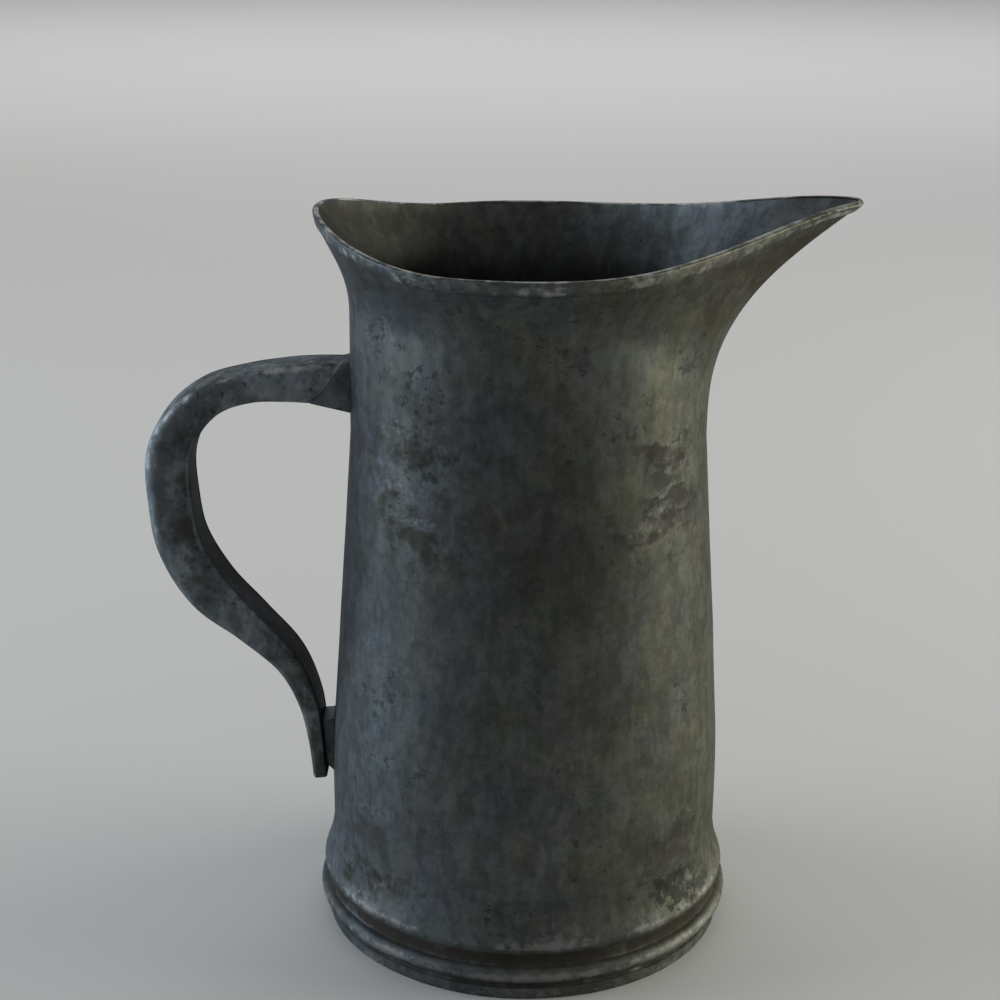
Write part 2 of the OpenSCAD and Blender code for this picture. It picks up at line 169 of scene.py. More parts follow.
class JugLipSizes(bpy.types.PropertyGroup):
    """Sizes of the lip collar, its spout and the band round its rim."""

    lap: length_prop("Lap", "Depth of the collar's skirt inside the barrel", 8 * MM)
    neck: length_prop("Neck", "Height of the neck below the flare", 37 * MM)
    radius: length_prop("Lip radius", "Outside radius of the round part of the rim", 64 * MM)
    rise: length_prop("Lip rise", "Height of the rim above the barrel's top edge", 59.3 * MM)
    flare_power: share_prop("Flare power", "How late the flare bends outwards", 2.2)
    flare_ease: share_prop("Flare ease", "How strongly the flare turns upright again", 1.7)
    peak_rise: length_prop("Peak rise", "Rise of the rim at the handle side", 9 * MM)
    peak_out: length_prop("Peak reach", "Extra reach of the rim at the handle side", 0.6 * MM)
    peak_start: length_prop("Peak start", "Distance from the axis where the peak starts", 25 * MM)
    spout_reach: length_prop("Spout reach", "Distance of the spout's tip from the axis", COLLAR_HIGH.x)
    spout_tip: length_prop("Spout tip", "Plan radius of the spout's tip", 7 * MM)
    spout_rise: length_prop("Spout rise", "Rise of the rim at the spout's tip", 11.7 * MM)
    spout_start: length_prop("Spout start", "Height above the barrel where the spout starts", 4 * MM)
    spout_power: share_prop("Spout power", "How late the spout bends outwards", 2.5)
    spout_ease: share_prop("Spout ease", "How strongly the spout turns upright again", 1.15)
    spout_spread: FloatProperty(
        name="Spout spread",
        description="Half the angle over which the spout fades into the flare",
        default=radians(65),
        subtype="ANGLE",
    )
    band_width: length_prop("Band width", "Width of the strip round the rim", 4.8 * MM)
    band: length_prop("Band", "Thickness of the flat part of the strip", 0.6 * MM)
    bead: length_prop("Bead", "How far the bead along the rim stands out", 0.5 * MM)
    bead_height: length_prop("Bead height", "Height of the bead along the rim", 1 * MM)


class JugFootSizes(bpy.types.PropertyGroup):
    """Sizes of the foot ring's mouldings."""

    root: length_prop("Root", "Thickness of the ring behind its beads", 2.1 * MM)
    band: length_prop("Band", "Height of the plain band at the bottom", 3.8 * MM)
    groove: length_prop("Groove", "Height of the groove above the band", 2.2 * MM)
    groove_depth: length_prop("Groove depth", "Depth of that groove", 0.8 * MM)
    lower_bead: length_prop("Lower bead", "Height of the lower bead", 5.2 * MM)
    lower_bead_out: length_prop("Lower bead reach", "How far the lower bead stands out", 2.5 * MM)
    cove: length_prop("Cove", "Height of the cove between the beads", 4.4 * MM)
    cove_depth: length_prop("Cove depth", "Depth of the cove", 0.7 * MM)
    upper_bead: length_prop("Upper bead", "Height of the upper bead", 4.4 * MM)
    upper_bead_out: length_prop("Upper bead reach", "How far the upper bead stands out", 1.2 * MM)
    edge: length_prop("Edge", "How far the ring's thin top edge sinks into the barrel", 0.06 * MM)
    rest: length_prop("Rest", "Width of the flat face that the jug rests on", 6.4 * MM)
    ledge: length_prop("Ledge", "Thickness of the ledge under the barrel", 3 * MM)


class JugHandleSizes(bpy.types.PropertyGroup):
    """Sizes of the handle and of the pieces that hold it."""

    width: length_prop("Width", "Width of the handle", GUTTER_HIGH.y - GUTTER_LOW.y)
    sheet: length_prop("Sheet", "Thickness of the handle's sheet metal", 1.4 * MM)
    corner: length_prop("Corner", "Radius of the handle's outer edges", 4.2 * MM)
    corner_depth: share_prop("Corner depth", "Share of the half thickness that an outer edge takes", 0.62)
    top: length_prop("Top run", "Height of the middle of the top run", 177 * MM)
    slant: share_prop("Slant", "Slope of the handle's upper end", 0.75)
    swell: length_prop("Swell", "How far the handle's back rises towards the bracket", 0.9 * MM)
    strap_width: length_prop("Strap width", "Width of the handle's strap", STRAP_HIGH.y - STRAP_LOW.y)
    strap: length_prop("Strap", "Thickness of the strap", 1 * MM)
    recess: length_prop("Recess", "Depth of the strap inside the handle's edges", 0.3 * MM)
    tail: length_prop("Tail plate", "Thickness of the plate on the handle's lower end", 1.2 * MM)
    bracket_above: length_prop("Bracket above", "Height of the bracket above the middle line", 7.8 * MM)
    bracket_below: length_prop("Bracket below", "Height of the bracket below the middle line", 9 * MM)
    crown: length_prop("Bracket crown", "How far the bracket's top falls away to its sides", 1.8 * MM)
    tongue: length_prop("Tongue", "Length of the bracket's tongue inside the handle", 11 * MM)
    gap: length_prop("Gap", "Play round the tongue", 0.3 * MM)
    overlap: length_prop("Overlap", "How far the bracket's shoulder reaches into the handle's end", 1 * MM)
    strut_width: length_prop("Strut width", "Width of the lower strut", STRUT_HIGH.y - STRUT_LOW.y)
    strut_low: length_prop("Strut foot", "Height of the strut's lower end", STRUT_LOW.z)
    strut_top: length_prop("Strut top", "Height of the strut's upper end", STRUT_HIGH.z)
    strut_flare: length_prop("Strut flare", "How much the strut widens towards the barrel", 2.8 * MM)
    unevenness: length_prop("Unevenness", "Depth of the hammer marks", 0.35 * MM)


class JugFinish(bpy.types.PropertyGroup):
    """Colours of the worn metal, with painted light and shade in some of them."""

    # Painted light: the cool tint stands for the cool lamp on the handle's side, the warm tint for the warm
    # lamp on the spout's side
    cool: colour_prop("Cool-lit metal", "Colour of the sheet metal towards the handle", (0.057, 0.065, 0.073))
    warm: colour_prop("Warm-lit metal", "Colour of the sheet metal towards the spout", (0.067, 0.069, 0.055))
    tarnish: colour_prop("Tarnish", "Colour of the dull brown stains", (0.027, 0.026, 0.022))
    pit: colour_prop("Pits", "Colour of the small dark pits", (0.013, 0.012, 0.011))
    worn: colour_prop("Worn metal", "Colour of the flecks and rubbed edges", (0.235, 0.236, 0.23))
    # The grime colour is partly dirt and partly painted shade in crevices, under the spout and along the
    # handle's sides
    grime: colour_prop("Grime", "Colour of the dirt in crevices", (0.044, 0.035, 0.026))
    # The inside colour is the painted shade mixed in deep inside the jug
    inside: colour_prop("Inside", "Colour of the metal deep inside the jug", (0.02, 0.02, 0.02))
    rim: share_prop("Rim shade", "Brightness of the band round the rim, against the wall", 1.5)
    solder: share_prop("Solder shade", "Brightness of the solder, against the wall", 1.4)
    # The handle's brightness against the wall is painted light
    handle: share_prop("Handle shade", "Brightness of the handle, against the wall", 2.4)
    bracket: share_prop("Bracket shade", "Brightness of bracket and strut, against the wall", 1.4)
    strap: share_prop("Strap shade", "Brightness of the handle's strap, against the wall", 0.65)


class JugStage(bpy.types.PropertyGroup):
    """The floor, the lights and the camera."""

    floor: colour_prop("Floor", "Colour of the floor and of the far background", (0.58, 0.58, 0.575))
    daylight: share_prop("Daylight", "Strength of the even light from all round", 0.31)
    left_power: power_prop("Left light", "Power of the cool light on the left", 7.0)
    right_power: power_prop("Right light", "Power of the warm light on the right", 8.7)
    back_power: power_prop("Back light", "Power of the light on the floor behind", 50.0)
    lens: FloatProperty(
        name="Lens", description="Focal length of the camera", default=70.2, subtype="DISTANCE_CAMERA"
    )


ORIGIN = (0.0, 0.0, 0.0)


class Nodes:
    """Short ways to add and link the nodes of one tree."""

    SPACING = 220

    def __init__(self, tree):
        self.tree = tree

    def add(self, kind, sockets=None, **settings):
        node = self.tree.nodes.new(kind)
        node.location.x = self.SPACING * len(self.tree.nodes)
        for key, value in settings.items():
            setattr(node, key, value)
        for key, value in (sockets or {}).items():
            self.plug(node.inputs[key], value)
        return node

    def plug(self, socket, value):
        if isinstance(value, bpy.types.NodeSocket):
            self.tree.links.new(value, socket)
        else:
            socket.default_value = value

    def group(self, name, sockets):
        """Outputs of a node that runs a group made before."""
        kind = self.tree.bl_idname.replace("Tree", "Group")
        return self.add(kind, sockets, node_tree=bpy.data.node_groups[name]).outputs

    def shape(self, kind, sockets, output="Geometry"):
        """Geometry that a node makes."""
        return self.add(kind, sockets).outputs[output]

    def math(self, operation, a, b=0.0, clamp=False):
        return self.add("ShaderNodeMath", {0: a, 1: b}, operation=operation, use_clamp=clamp).outputs[0]

    def plus(self, a, b, clamp=False):
        return self.math("ADD", a, b, clamp)

    def minus(self, a, b, clamp=False):
        return self.math("SUBTRACT", a, b, clamp)

    def times(self, a, b):
        return self.math("MULTIPLY", a, b)

    def vector(self, operation, a, b=ORIGIN):
        return self.add("ShaderNodeVectorMath", {0: a, 1: b}, operation=operation).outputs["Vector"]

    def scaled(self, vector, factor):
        node = self.add("ShaderNodeVectorMath", {"Vector": vector, "Scale": factor}, operation="SCALE")
        return node.outputs["Vector"]

    def flat(self, vector):
        return self.vector("MULTIPLY", vector, (1.0, 1.0, 0.0))

    def span(self, a, b=ORIGIN):
        return self.add("ShaderNodeVectorMath", {0: a, 1: b}, operation="DISTANCE").outputs["Value"]

    def parts(self, vector):
        return self.add("ShaderNodeSeparateXYZ", {"Vector": vector}).outputs

    def joined(self, x, y, z):
        return self.add("ShaderNodeCombineXYZ", {"X": x, "Y": y, "Z": z}).outputs["Vector"]

    def blend(self, share, a, b):
        """Value between a and b."""
        return self.plus(a, self.times(share, self.minus(b, a)))

    def step(self, value, low, high, start=0.0, end=1.0):
        """Smooth step of a value from start to end."""
        sockets = {"Value": value, "From Min": low, "From Max": high, "To Min": start, "To Max": end}
        return self.add("ShaderNodeMapRange", sockets, interpolation_type="SMOOTHSTEP").outputs["Result"]

    def colour_mix(self, share, a, b, blend_type="MIX"):
        node = self.add("ShaderNodeMix", data_type="RGBA", blend_type=blend_type)
        factor, first, second = node.inputs[0], node.inputs[6], node.inputs[7]
        self.plug(factor, share)
        self.plug(first, a)
        self.plug(second, b)
        return node.outputs[2]

    def toned(self, colour, tone):
        """Colour times a grey tone."""
        return self.colour_mix(1.0, colour, self.joined(tone, tone, tone), "MULTIPLY")

    def noise(self, vector, scale, detail, roughness, distortion=0.0, squash=1.0):
        """Noise around 0.5; a squash above 1 flattens its patches and one below 1 stretches them upright."""
        if squash != 1.0:
            vector = self.vector("MULTIPLY", vector, (1.0, 1.0, squash))
        sockets = {
            "Vector": vector,
            "Scale": scale,
            "Detail": detail,
            "Roughness": roughness,
            "Distortion": distortion,
        }
        return self.add("ShaderNodeTexNoise", sockets).outputs[0]


# Types of the sockets of groups and trees
FLOAT = "NodeSocketFloat"
INTEGER = "NodeSocketInt"
VECTOR = "NodeSocketVector"
COLOUR = "NodeSocketColor"
MATERIAL = "NodeSocketMaterial"
OBJECT = "NodeSocketObject"
GEOMETRY = "NodeSocketGeometry"

Group = namedtuple("Group", "nodes inputs finish")


def new_group(kind, name, inputs, outputs):
    tree = bpy.data.node_groups.new(name, kind)
    for socket_name, socket_type, default in inputs:
        socket = tree.interface.new_socket(socket_name, in_out="INPUT", socket_type=socket_type)
        if default is not None:
            socket.default_value = default
    for socket_name, socket_type in outputs:
        tree.interface.new_socket(socket_name, in_out="OUTPUT", socket_type=socket_type)
    nodes = Nodes(tree)
    entry = nodes.add("NodeGroupInput")

    def finish(results):
        leave = nodes.add("NodeGroupOutput")
        for key, value in results.items():
            nodes.plug(leave.inputs[key], value)

    return Group(nodes, entry.outputs, finish)


# Shader groups

def crowd_spot_group():
    """Mask that is 1 in the middle of a place on the jug and fades out at its edge."""
    group = new_group(
        "ShaderNodeTree",
        "Crowd spot",
        [("Vector", VECTOR, None), ("Centre", VECTOR, None), ("Reach", VECTOR, None)],
        [("Mask", FLOAT)],
    )
    nodes = group.nodes
    away = nodes.vector("SUBTRACT", group.inputs["Vector"], group.inputs["Centre"])
    away = nodes.vector("DIVIDE", away, group.inputs["Reach"])
    group.finish({"Mask": nodes.step(nodes.span(away), 0.35, 1.0, 1.0, 0.0)})


def torn_stain_group():
    """Stain that hangs below a ragged upper edge and fades out downwards; the pale edge is apart."""
    group = new_group(
        "ShaderNodeTree",
        "Torn stain",
        [
            ("Vector", VECTOR, None),
            ("Ragged", FLOAT, 0.5),
            ("Centre", VECTOR, None),
            ("Reach", VECTOR, None),
            ("Strength", FLOAT, 1.0),
        ],
        [("Stain", FLOAT), ("Edge", FLOAT)],
    )
    nodes, inputs = group.nodes, group.inputs
    away = nodes.vector("SUBTRACT", inputs["Vector"], inputs["Centre"])
    away = nodes.vector("DIVIDE", away, inputs["Reach"])
    tear = nodes.minus(inputs["Ragged"], 0.5)
    line = nodes.plus(nodes.parts(away)["Z"], nodes.times(tear, 5.0))
    aside = nodes.plus(nodes.span(nodes.flat(away)), nodes.times(tear, 3.0))
    sides = nodes.step(aside, 0.4, 1.1, 1.0, 0.0)
    sides = nodes.times(sides, inputs["Strength"])
    below = nodes.step(line, 0.2, 0.6, 1.0, 0.0)
    fading = nodes.step(line, -2.4, -0.7)
    above = nodes.step(line, 0.4, 0.7)
    near = nodes.step(line, 0.6, 1.3, 1.0, 0.0)
    stain = nodes.times(sides, nodes.times(below, fading))
    edge = nodes.times(sides, nodes.times(above, near))
    group.finish({"Stain": stain, "Edge": edge})


def broken_mask_group():
    """Turns an even mask into a patchy one, as rubbing and dirt leave it, and breaks up painted shade the
    same way.
    """
    group = new_group(
        "ShaderNodeTree",
        "Patchy mask",
        [("Vector", VECTOR, None), ("Mask", FLOAT, 0.0), ("Grain", FLOAT, 300.0)],
        [("Mask", FLOAT)],
    )
    nodes = group.nodes
    place, mask = group.inputs["Vector"], group.inputs["Mask"]
    coarse = nodes.noise(place, scale=group.inputs["Grain"], detail=6.0, roughness=0.65)
    wide = nodes.noise(place, scale=55.0, detail=2.0, roughness=0.5)
    level = nodes.plus(nodes.times(coarse, 0.7), nodes.times(wide, 0.6))
    level = nodes.plus(level, nodes.times(mask, 0.5))
    patch = nodes.step(level, 0.86, 1.08)
    strength = nodes.blend(mask, 0.4, 1.0)
    group.finish({"Mask": nodes.times(patch, strength)})


def aged_metal_group():
    """Cool-lit and warm-lit patches of painted light, clouds, upright streaks, torn stains and pits of old
    sheet metal.
    """
    group = new_group(
        "ShaderNodeTree",
        "Aged metal",
        [
            ("Vector", VECTOR, None),
            ("Left metal", COLOUR, None),
            ("Right metal", COLOUR, None),
            ("Tarnish", COLOUR, None),
            ("Pits", COLOUR, None),
            ("Fleck", COLOUR, None),
            ("Cloud", FLOAT, 1.0),
            ("Streak", FLOAT, 1.0),
            ("Pit", FLOAT, 1.0),
            ("Stain", FLOAT, 0.0),
            ("Edge", FLOAT, 0.0),
            ("Crowd", FLOAT, 0.0),
        ],
        [("Color", COLOUR), ("Roughness", FLOAT), ("Metallic", FLOAT), ("Height", FLOAT)],
    )
    nodes, inputs = group.nodes, group.inputs
    place = inputs["Vector"]

    # Painted light: a cool tone towards the handle, where the cool lamp falls, and a warm one towards the
    # spout, where the warm lamp falls, mixed in patches
    drift = nodes.noise(place, scale=70.0, detail=4.0, roughness=0.6, squash=0.6)
    side = nodes.step(nodes.parts(place)["X"], -60 * MM, 60 * MM)
    warm_light_share = nodes.plus(side, nodes.step(drift, 0.3, 0.7, -0.3, 0.3), clamp=True)
    colour = nodes.colour_mix(warm_light_share, inputs["Left metal"], inputs["Right metal"])

    # Tone: soft clouds, smaller patches, a fine mottle and fine upright streaks
    cloud = nodes.noise(place, scale=48.0, detail=5.0, roughness=0.6, distortion=0.3, squash=0.75)
    patch = nodes.noise(place, scale=165.0, detail=6.0, roughness=0.62, distortion=0.2, squash=0.55)
    mottle = nodes.noise(place, scale=320.0, detail=5.0, roughness=0.7)
    streak = nodes.noise(place, scale=460.0, detail=3.0, roughness=0.55, squash=0.08)
    tone = nodes.blend(inputs["Cloud"], 1.0, nodes.step(cloud, 0.3, 0.7, 0.9, 1.1))
    patch_tone = nodes.blend(inputs["Cloud"], 1.0, nodes.step(patch, 0.43, 0.57, 0.86, 1.13))
    streak_tone = nodes.blend(inputs["Streak"], 1.0, nodes.step(streak, 0.3, 0.7, 0.92, 1.08))
    mottle_tone = nodes.step(mottle, 0.28, 0.72, 0.8, 1.2)
    for layer in (patch_tone, streak_tone, mottle_tone):
        tone = nodes.times(tone, layer)
    colour = nodes.toned(colour, tone)

    # Faint tints of their own in small patches
    tint = nodes.add("ShaderNodeTexNoise", {"Vector": place, "Scale": 75.0, "Detail": 3.0}).outputs["Color"]
    tint = nodes.vector("ADD", nodes.scaled(tint, 0.2), (0.9, 0.9, 0.9))
    colour = nodes.colour_mix(1.0, colour, tint, "MULTIPLY")

    # A brownish film in wide soft patches
    elsewhere = nodes.vector("ADD", place, (0.7, 0.2, 0.4))
    film = nodes.noise(elsewhere, scale=26.0, detail=4.0, roughness=0.6, distortion=0.3)
    film = nodes.step(film, 0.46, 0.7, 0.0, 0.3)
    colour = nodes.colour_mix(film, colour, inputs["Tarnish"])

    # Stains with a pale ragged upper edge where the material asks for them, and fainter ones anywhere
    torn = nodes.noise(place, scale=70.0, detail=7.0, roughness=0.62, squash=1.9)
    blot = nodes.noise(place, scale=95.0, detail=6.0, roughness=0.66, squash=1.5)
    stain = nodes.times(inputs["Stain"], nodes.step(blot, 0.42, 0.54, 0.1, 1.0))
    stain = nodes.math("MAXIMUM", stain, nodes.step(torn, 0.58, 0.74, 0.0, 0.4))
    colour = nodes.colour_mix(nodes.times(stain, 0.9), colour, nodes.toned(inputs["Tarnish"], tone))
    grain = nodes.noise(place, scale=420.0, detail=4.0, roughness=0.65)
    fleck = nodes.times(inputs["Edge"], nodes.step(grain, 0.5, 0.64))
    fleck = nodes.math("MAXIMUM", fleck, nodes.step(grain, 0.72, 0.82))
    colour = nodes.colour_mix(nodes.times(fleck, 0.3), colour, inputs["Fleck"])

    # Clusters of small dark pits
    elsewhere = nodes.vector("ADD", place, (0.3, 0.1, 0.2))
    cluster = nodes.noise(elsewhere, scale=36.0, detail=2.0, roughness=0.5)
    crowd = nodes.times(nodes.step(cluster, 0.5, 0.7), inputs["Pit"])
    crowd = nodes.plus(crowd, inputs["Crowd"])
    speck = nodes.noise(place, scale=310.0, detail=5.0, roughness=0.62, squash=1.15)
    pit = nodes.step(nodes.plus(speck, nodes.times(crowd, 0.125)), 0.63, 0.74)
    colour = nodes.colour_mix(nodes.times(pit, 0.6), colour, inputs["Pits"])

    dull = nodes.plus(nodes.times(stain, 0.05), nodes.times(pit, 0.14))
    dull = nodes.plus(dull, nodes.times(film, 0.12))
    roughness = nodes.plus(nodes.step(cloud, 0.3, 0.7, 0.56, 0.46), dull)
    metallic = nodes.minus(0.8, nodes.times(dull, 1.6), clamp=True)
    grainy = nodes.plus(nodes.times(mottle, 0.6), nodes.times(streak, 0.25))
    hollow = nodes.plus(nodes.times(pit, 0.4), nodes.times(stain, 0.2))
    height = nodes.minus(grainy, hollow)
    group.finish({"Color": colour, "Roughness": roughness, "Metallic": metallic, "Height": height})


# Materials

# Marks on the wall, in degrees from the front towards the spout and millimetres up, how far each
# reaches along and up the wall, and its strength: torn stains in rows on both sides, crowds of pits
Mark = namedtuple("Mark", "angle height along up strength", defaults=(1.0,))
WALL_STAINS = (
    Mark(-43, 167, 14, 7, 0.8),
    Mark(-45, 152, 15, 5),
    Mark(-36, 142, 19, 6),
    Mark(-40, 160, 20, 9, 0.5),
    Mark(47, 166, 12, 6),
    Mark(50, 151, 15, 5),
    Mark(43, 141, 17, 5),
    Mark(50, 46, 16, 5, 0.7),
    Mark(-50, 46, 15, 5, 0.7),
)
WALL_PITS = (
    Mark(-55, 201, 12, 9),
    Mark(-33, 186, 13, 12),
    Mark(-33, 165, 14, 14),
    Mark(57, 192, 12, 14),
    Mark(55, 165, 12, 12),
    Mark(-48, 91, 14, 12),
    Mark(53, 90, 14, 13),
    Mark(-36, 70, 14, 7),
)
FOOT_STAINS = (
    Mark(48, 30, 16, 4, 0.8),
    Mark(-47, 31, 16, 4, 0.8),
    Mark(58, 24, 12, 3),
    Mark(-56, 25, 12, 3),
)
FOOT_PITS = (Mark(50, 27, 16, 9), Mark(-48, 29, 16, 9))


def opaque(colour, shade=1.0):
    return (colour[0] * shade, colour[1] * shade, colour[2] * shade, 1.0)


# Tarnished metal stays dark where it is seen at a low angle
EDGE_TINT = (0.4, 0.4, 0.4, 1.0)
# Fineness of the patches of dirt and painted shade, how much they and rubbing cover, and the roughness that
# they add
SHADE_AND_DIRT_GRAIN = 190.0
SHADE_AND_DIRT_COVER = 0.78
DIRT_DULL = 0.25
RUBBED_COVER = 0.72
# Heights over which painted light changes the metal's tone towards the foot and towards the rim
LOW_DOWN = (30 * MM, 130 * MM)
HIGH_UP = (165 * MM, 200 * MM)

# Where painted shade darkens the inside and where it is pale, on a level that tilts by the slope towards the
# spout, and how much the painted shade covers
Depth = namedtuple("Depth", "dark pale slope cover")
INSIDE_DEPTH = Depth(164 * MM, 240 * MM, 0.55, 0.9)

# Amounts of each kind of ageing: brightness of the metal, clouds, streaks, pits, added roughness,
# brightness of the rubbed places, fineness of their patches and how much painted light makes the metal paler
# at both ends, or darker where it is negative
Ageing = namedtuple(
    "Ageing",
    "shade cloud streak pit dull rubbed grain lift",
    defaults=(1.0, 1.0, 1.0, 1.0, 0.0, 1.0, 300.0, 0.0),
)


def marked(nodes, place, mark, group_name, extra):
    """Masks of one mark on the wall."""
    height = mark.height * MM
    radius = wall_radius(bpy.context.scene.jug_wall, height)
    turn = radians(mark.angle)
    sockets = {
        "Vector": place,
        "Centre": (radius * sin(turn), -radius * cos(turn), height),
        "Reach": (mark.along * MM, mark.along * MM, mark.up * MM),
        **extra,
    }
    return nodes.group(group_name, sockets)


def metal_material(name, finish, ageing, stains=(), pits=(), depth=None):
    """Worn metal made of the shared groups; depth darkens it downwards and away from the spout with painted
    shade.
    """
    material = bpy.data.materials.new(name)
    material.use_nodes = True
    material.node_tree.nodes.clear()
    nodes = Nodes(material.node_tree)
    place = nodes.add("ShaderNodeTexCoord").outputs["Object"]

    stain, edge, crowd = 0.0, 0.0, 0.0
    if stains:
        ragged = nodes.noise(place, scale=100.0, detail=6.0, roughness=0.6, squash=1.3)
    for mark in stains:
        torn = marked(nodes, place, mark, "Torn stain", {"Ragged": ragged, "Strength": mark.strength})
        stain = nodes.math("MAXIMUM", stain, torn["Stain"])
        edge = nodes.math("MAXIMUM", edge, torn["Edge"])
    for mark in pits:
        crowd = nodes.plus(crowd, marked(nodes, place, mark, "Crowd spot", {})["Mask"])

    # Inside, the painted light tints swap sides, as each side of the jug is lit by the lamp across from it
    left, right = (finish.warm, finish.cool) if depth else (finish.cool, finish.warm)
    amounts = {
        "Vector": place,
        "Left metal": opaque(left, ageing.shade),
        "Right metal": opaque(right, ageing.shade),
        "Tarnish": opaque(finish.tarnish, ageing.shade),
        "Pits": opaque(finish.pit),
        "Fleck": opaque(finish.worn),
        "Cloud": ageing.cloud,
        "Streak": ageing.streak,
        "Pit": ageing.pit,
        "Stain": stain,
        "Edge": edge,
        "Crowd": crowd,
    }
    aged = nodes.group("Aged metal", amounts)

    dirt_and_shade = 0.0 if depth else patchy(nodes, place, "grime", SHADE_AND_DIRT_GRAIN)
    rubbed = patchy(nodes, place, "wear", ageing.grain)
    colour = aged["Color"]
    parts = nodes.parts(place)
    # Painted light by height: paler or darker towards the foot and towards the rim
    if ageing.lift:
        low_down = nodes.step(parts["Z"], *LOW_DOWN, 1 + ageing.lift, 1.0)
        high_up = nodes.step(parts["Z"], *HIGH_UP, 1.0, 1 + ageing.lift / 2)
        colour = nodes.toned(colour, nodes.times(low_down, high_up))
    if depth:
        # Painted shade: darker deeper inside and away from the spout
        level = nodes.plus(parts["Z"], nodes.times(parts["X"], depth.slope))
        sunk = nodes.step(level, depth.dark, depth.pale, depth.cover, 0.0)
        colour = nodes.colour_mix(sunk, colour, opaque(finish.inside))
    # Grime colour: dirt, and painted shade in crevices and under things
    colour = nodes.colour_mix(nodes.times(dirt_and_shade, SHADE_AND_DIRT_COVER), colour, opaque(finish.grime))
    bare = opaque(finish.worn, ageing.rubbed)
    colour = nodes.colour_mix(nodes.times(rubbed, RUBBED_COVER), colour, bare)
    roughness = nodes.plus(aged["Roughness"], nodes.times(dirt_and_shade, DIRT_DULL))
    roughness = nodes.plus(roughness, ageing.dull)
    bumps = {"Strength": 0.25, "Distance": 0.4 * MM, "Height": aged["Height"]}
    relief = nodes.add("ShaderNodeBump", bumps)

    looks = {
        "Base Color": colour,
        "Roughness": roughness,
        "Metallic": aged["Metallic"],
        "Specular Tint": EDGE_TINT,
        "Normal": relief.outputs["Normal"],
    }
    surface = nodes.add("ShaderNodeBsdfPrincipled", looks)
    nodes.add("ShaderNodeOutputMaterial", {"Surface": surface.outputs["BSDF"]})
    return material


def patchy(nodes, place, attribute, grain):
    """Patchy mask from an attribute of the piece."""
    amount = nodes.add("ShaderNodeAttribute", attribute_name=attribute).outputs["Fac"]
    return nodes.group("Patchy mask", {"Vector": place, "Mask": amount, "Grain": grain})["Mask"]


def wall_material(finish):
    """Metal of barrel and collar, made once, so that the marks run on from one to the other."""
    name = "Wall metal"
    # The wall's painted light makes it paler towards the foot and towards the rim
    ageing = Ageing(streak=0.7, pit=0.6, lift=0.36)
    return bpy.data.materials.get(name) or metal_material(name, finish, ageing, WALL_STAINS, WALL_PITS)


def inside_material(finish):
    """Metal inside the jug, darkened by painted shade deep down, made once and shared by barrel and collar.
    """
    name = "Inside metal"
    ageing = Ageing(shade=1.4, cloud=1.4, streak=0.5, pit=0.0, dull=0.06)
    return bpy.data.materials.get(name) or metal_material(name, finish, ageing, depth=INSIDE_DEPTH)


# Laws of the jug's shape

def barrel_radius(wall, height):
    """Outside radius of the barrel: straight, then a bend, then a straight taper to the neck."""
    slope = (wall.radius - wall.neck_radius) / (wall.neck_height - wall.taper_height)
    above = height - wall.taper_height
    half = wall.taper_bend / 2
    if above <= -half:
        return wall.radius
    if above >= half:
        return wall.radius - slope * above
    return wall.radius - slope * (above + half) ** 2 / (4 * half)


def wall_radius(wall, height):
    """Outside radius of barrel or neck at a height."""
    return wall.neck_radius if height >= wall.neck_height else barrel_radius(wall, height)


def smooth(t):
    return t * t * (3 - 2 * t)


def limited(value, low, high):
    return max(low, min(high, value))


class LipPlan:
    """Plan and height of the rim: a circle with a pointed spout, risen at spout and handle."""

    def __init__(self, wall, lip):
        self.lip = lip
        self.level = wall.neck_height + lip.rise
        apex = (lip.spout_reach - lip.spout_tip) / (1 - lip.spout_tip / lip.radius)
        self.tangent = acos(lip.radius / apex)
        self.tip_x = lip.spout_reach - lip.spout_tip
        tip_end_x = self.tip_x + lip.spout_tip * cos(self.tangent)
        self.tip_angle = atan2(lip.spout_tip * sin(self.tangent), tip_end_x)

    def spout_share(self, angle):
        return cos(pi / 2 * min(1, abs(angle) / self.lip.spout_spread)) ** 2

    def peak_share(self, angle):
        lip = self.lip
        return max(0, (-lip.radius * cos(angle) - lip.peak_start) / (lip.radius - lip.peak_start)) ** 2

    def radius(self, angle):
        lip = self.lip
        turn = abs(angle)
        if turn <= self.tip_angle:
            plan = self.tip_x * cos(turn) + sqrt(lip.spout_tip ** 2 - (self.tip_x * sin(turn)) ** 2)
        elif turn <= self.tangent:
            plan = lip.radius / cos(self.tangent - turn)
        else:
            plan = lip.radius
        return plan + lip.peak_out * self.peak_share(angle)

    def height(self, angle):
        lip = self.lip
        along = limited(self.radius(angle) * cos(angle) / lip.spout_reach, 0, 1)
        rise = lip.spout_rise * smooth(along ** SPOUT_RISE_POWER)
        return self.level + rise + lip.peak_rise * self.peak_share(angle)

    def point(self, angle):
        radius = self.radius(angle)
        return Vector((radius * cos(angle), radius * sin(angle), self.height(angle)))

    def angles(self):
        """Angles round the rim from the spout's tip, closer together towards the tip."""
        half = [self.tangent * (k / SPOUT_STEPS) ** SPOUT_CROWDING for k in range(SPOUT_STEPS)]
        half += [self.tangent + (pi - self.tangent) * k / ROUND_STEPS for k in range(ROUND_STEPS)]
        return half + [pi] + [-angle for angle in reversed(half[1:])]


# Hosts: polylines that a tree turns into a piece

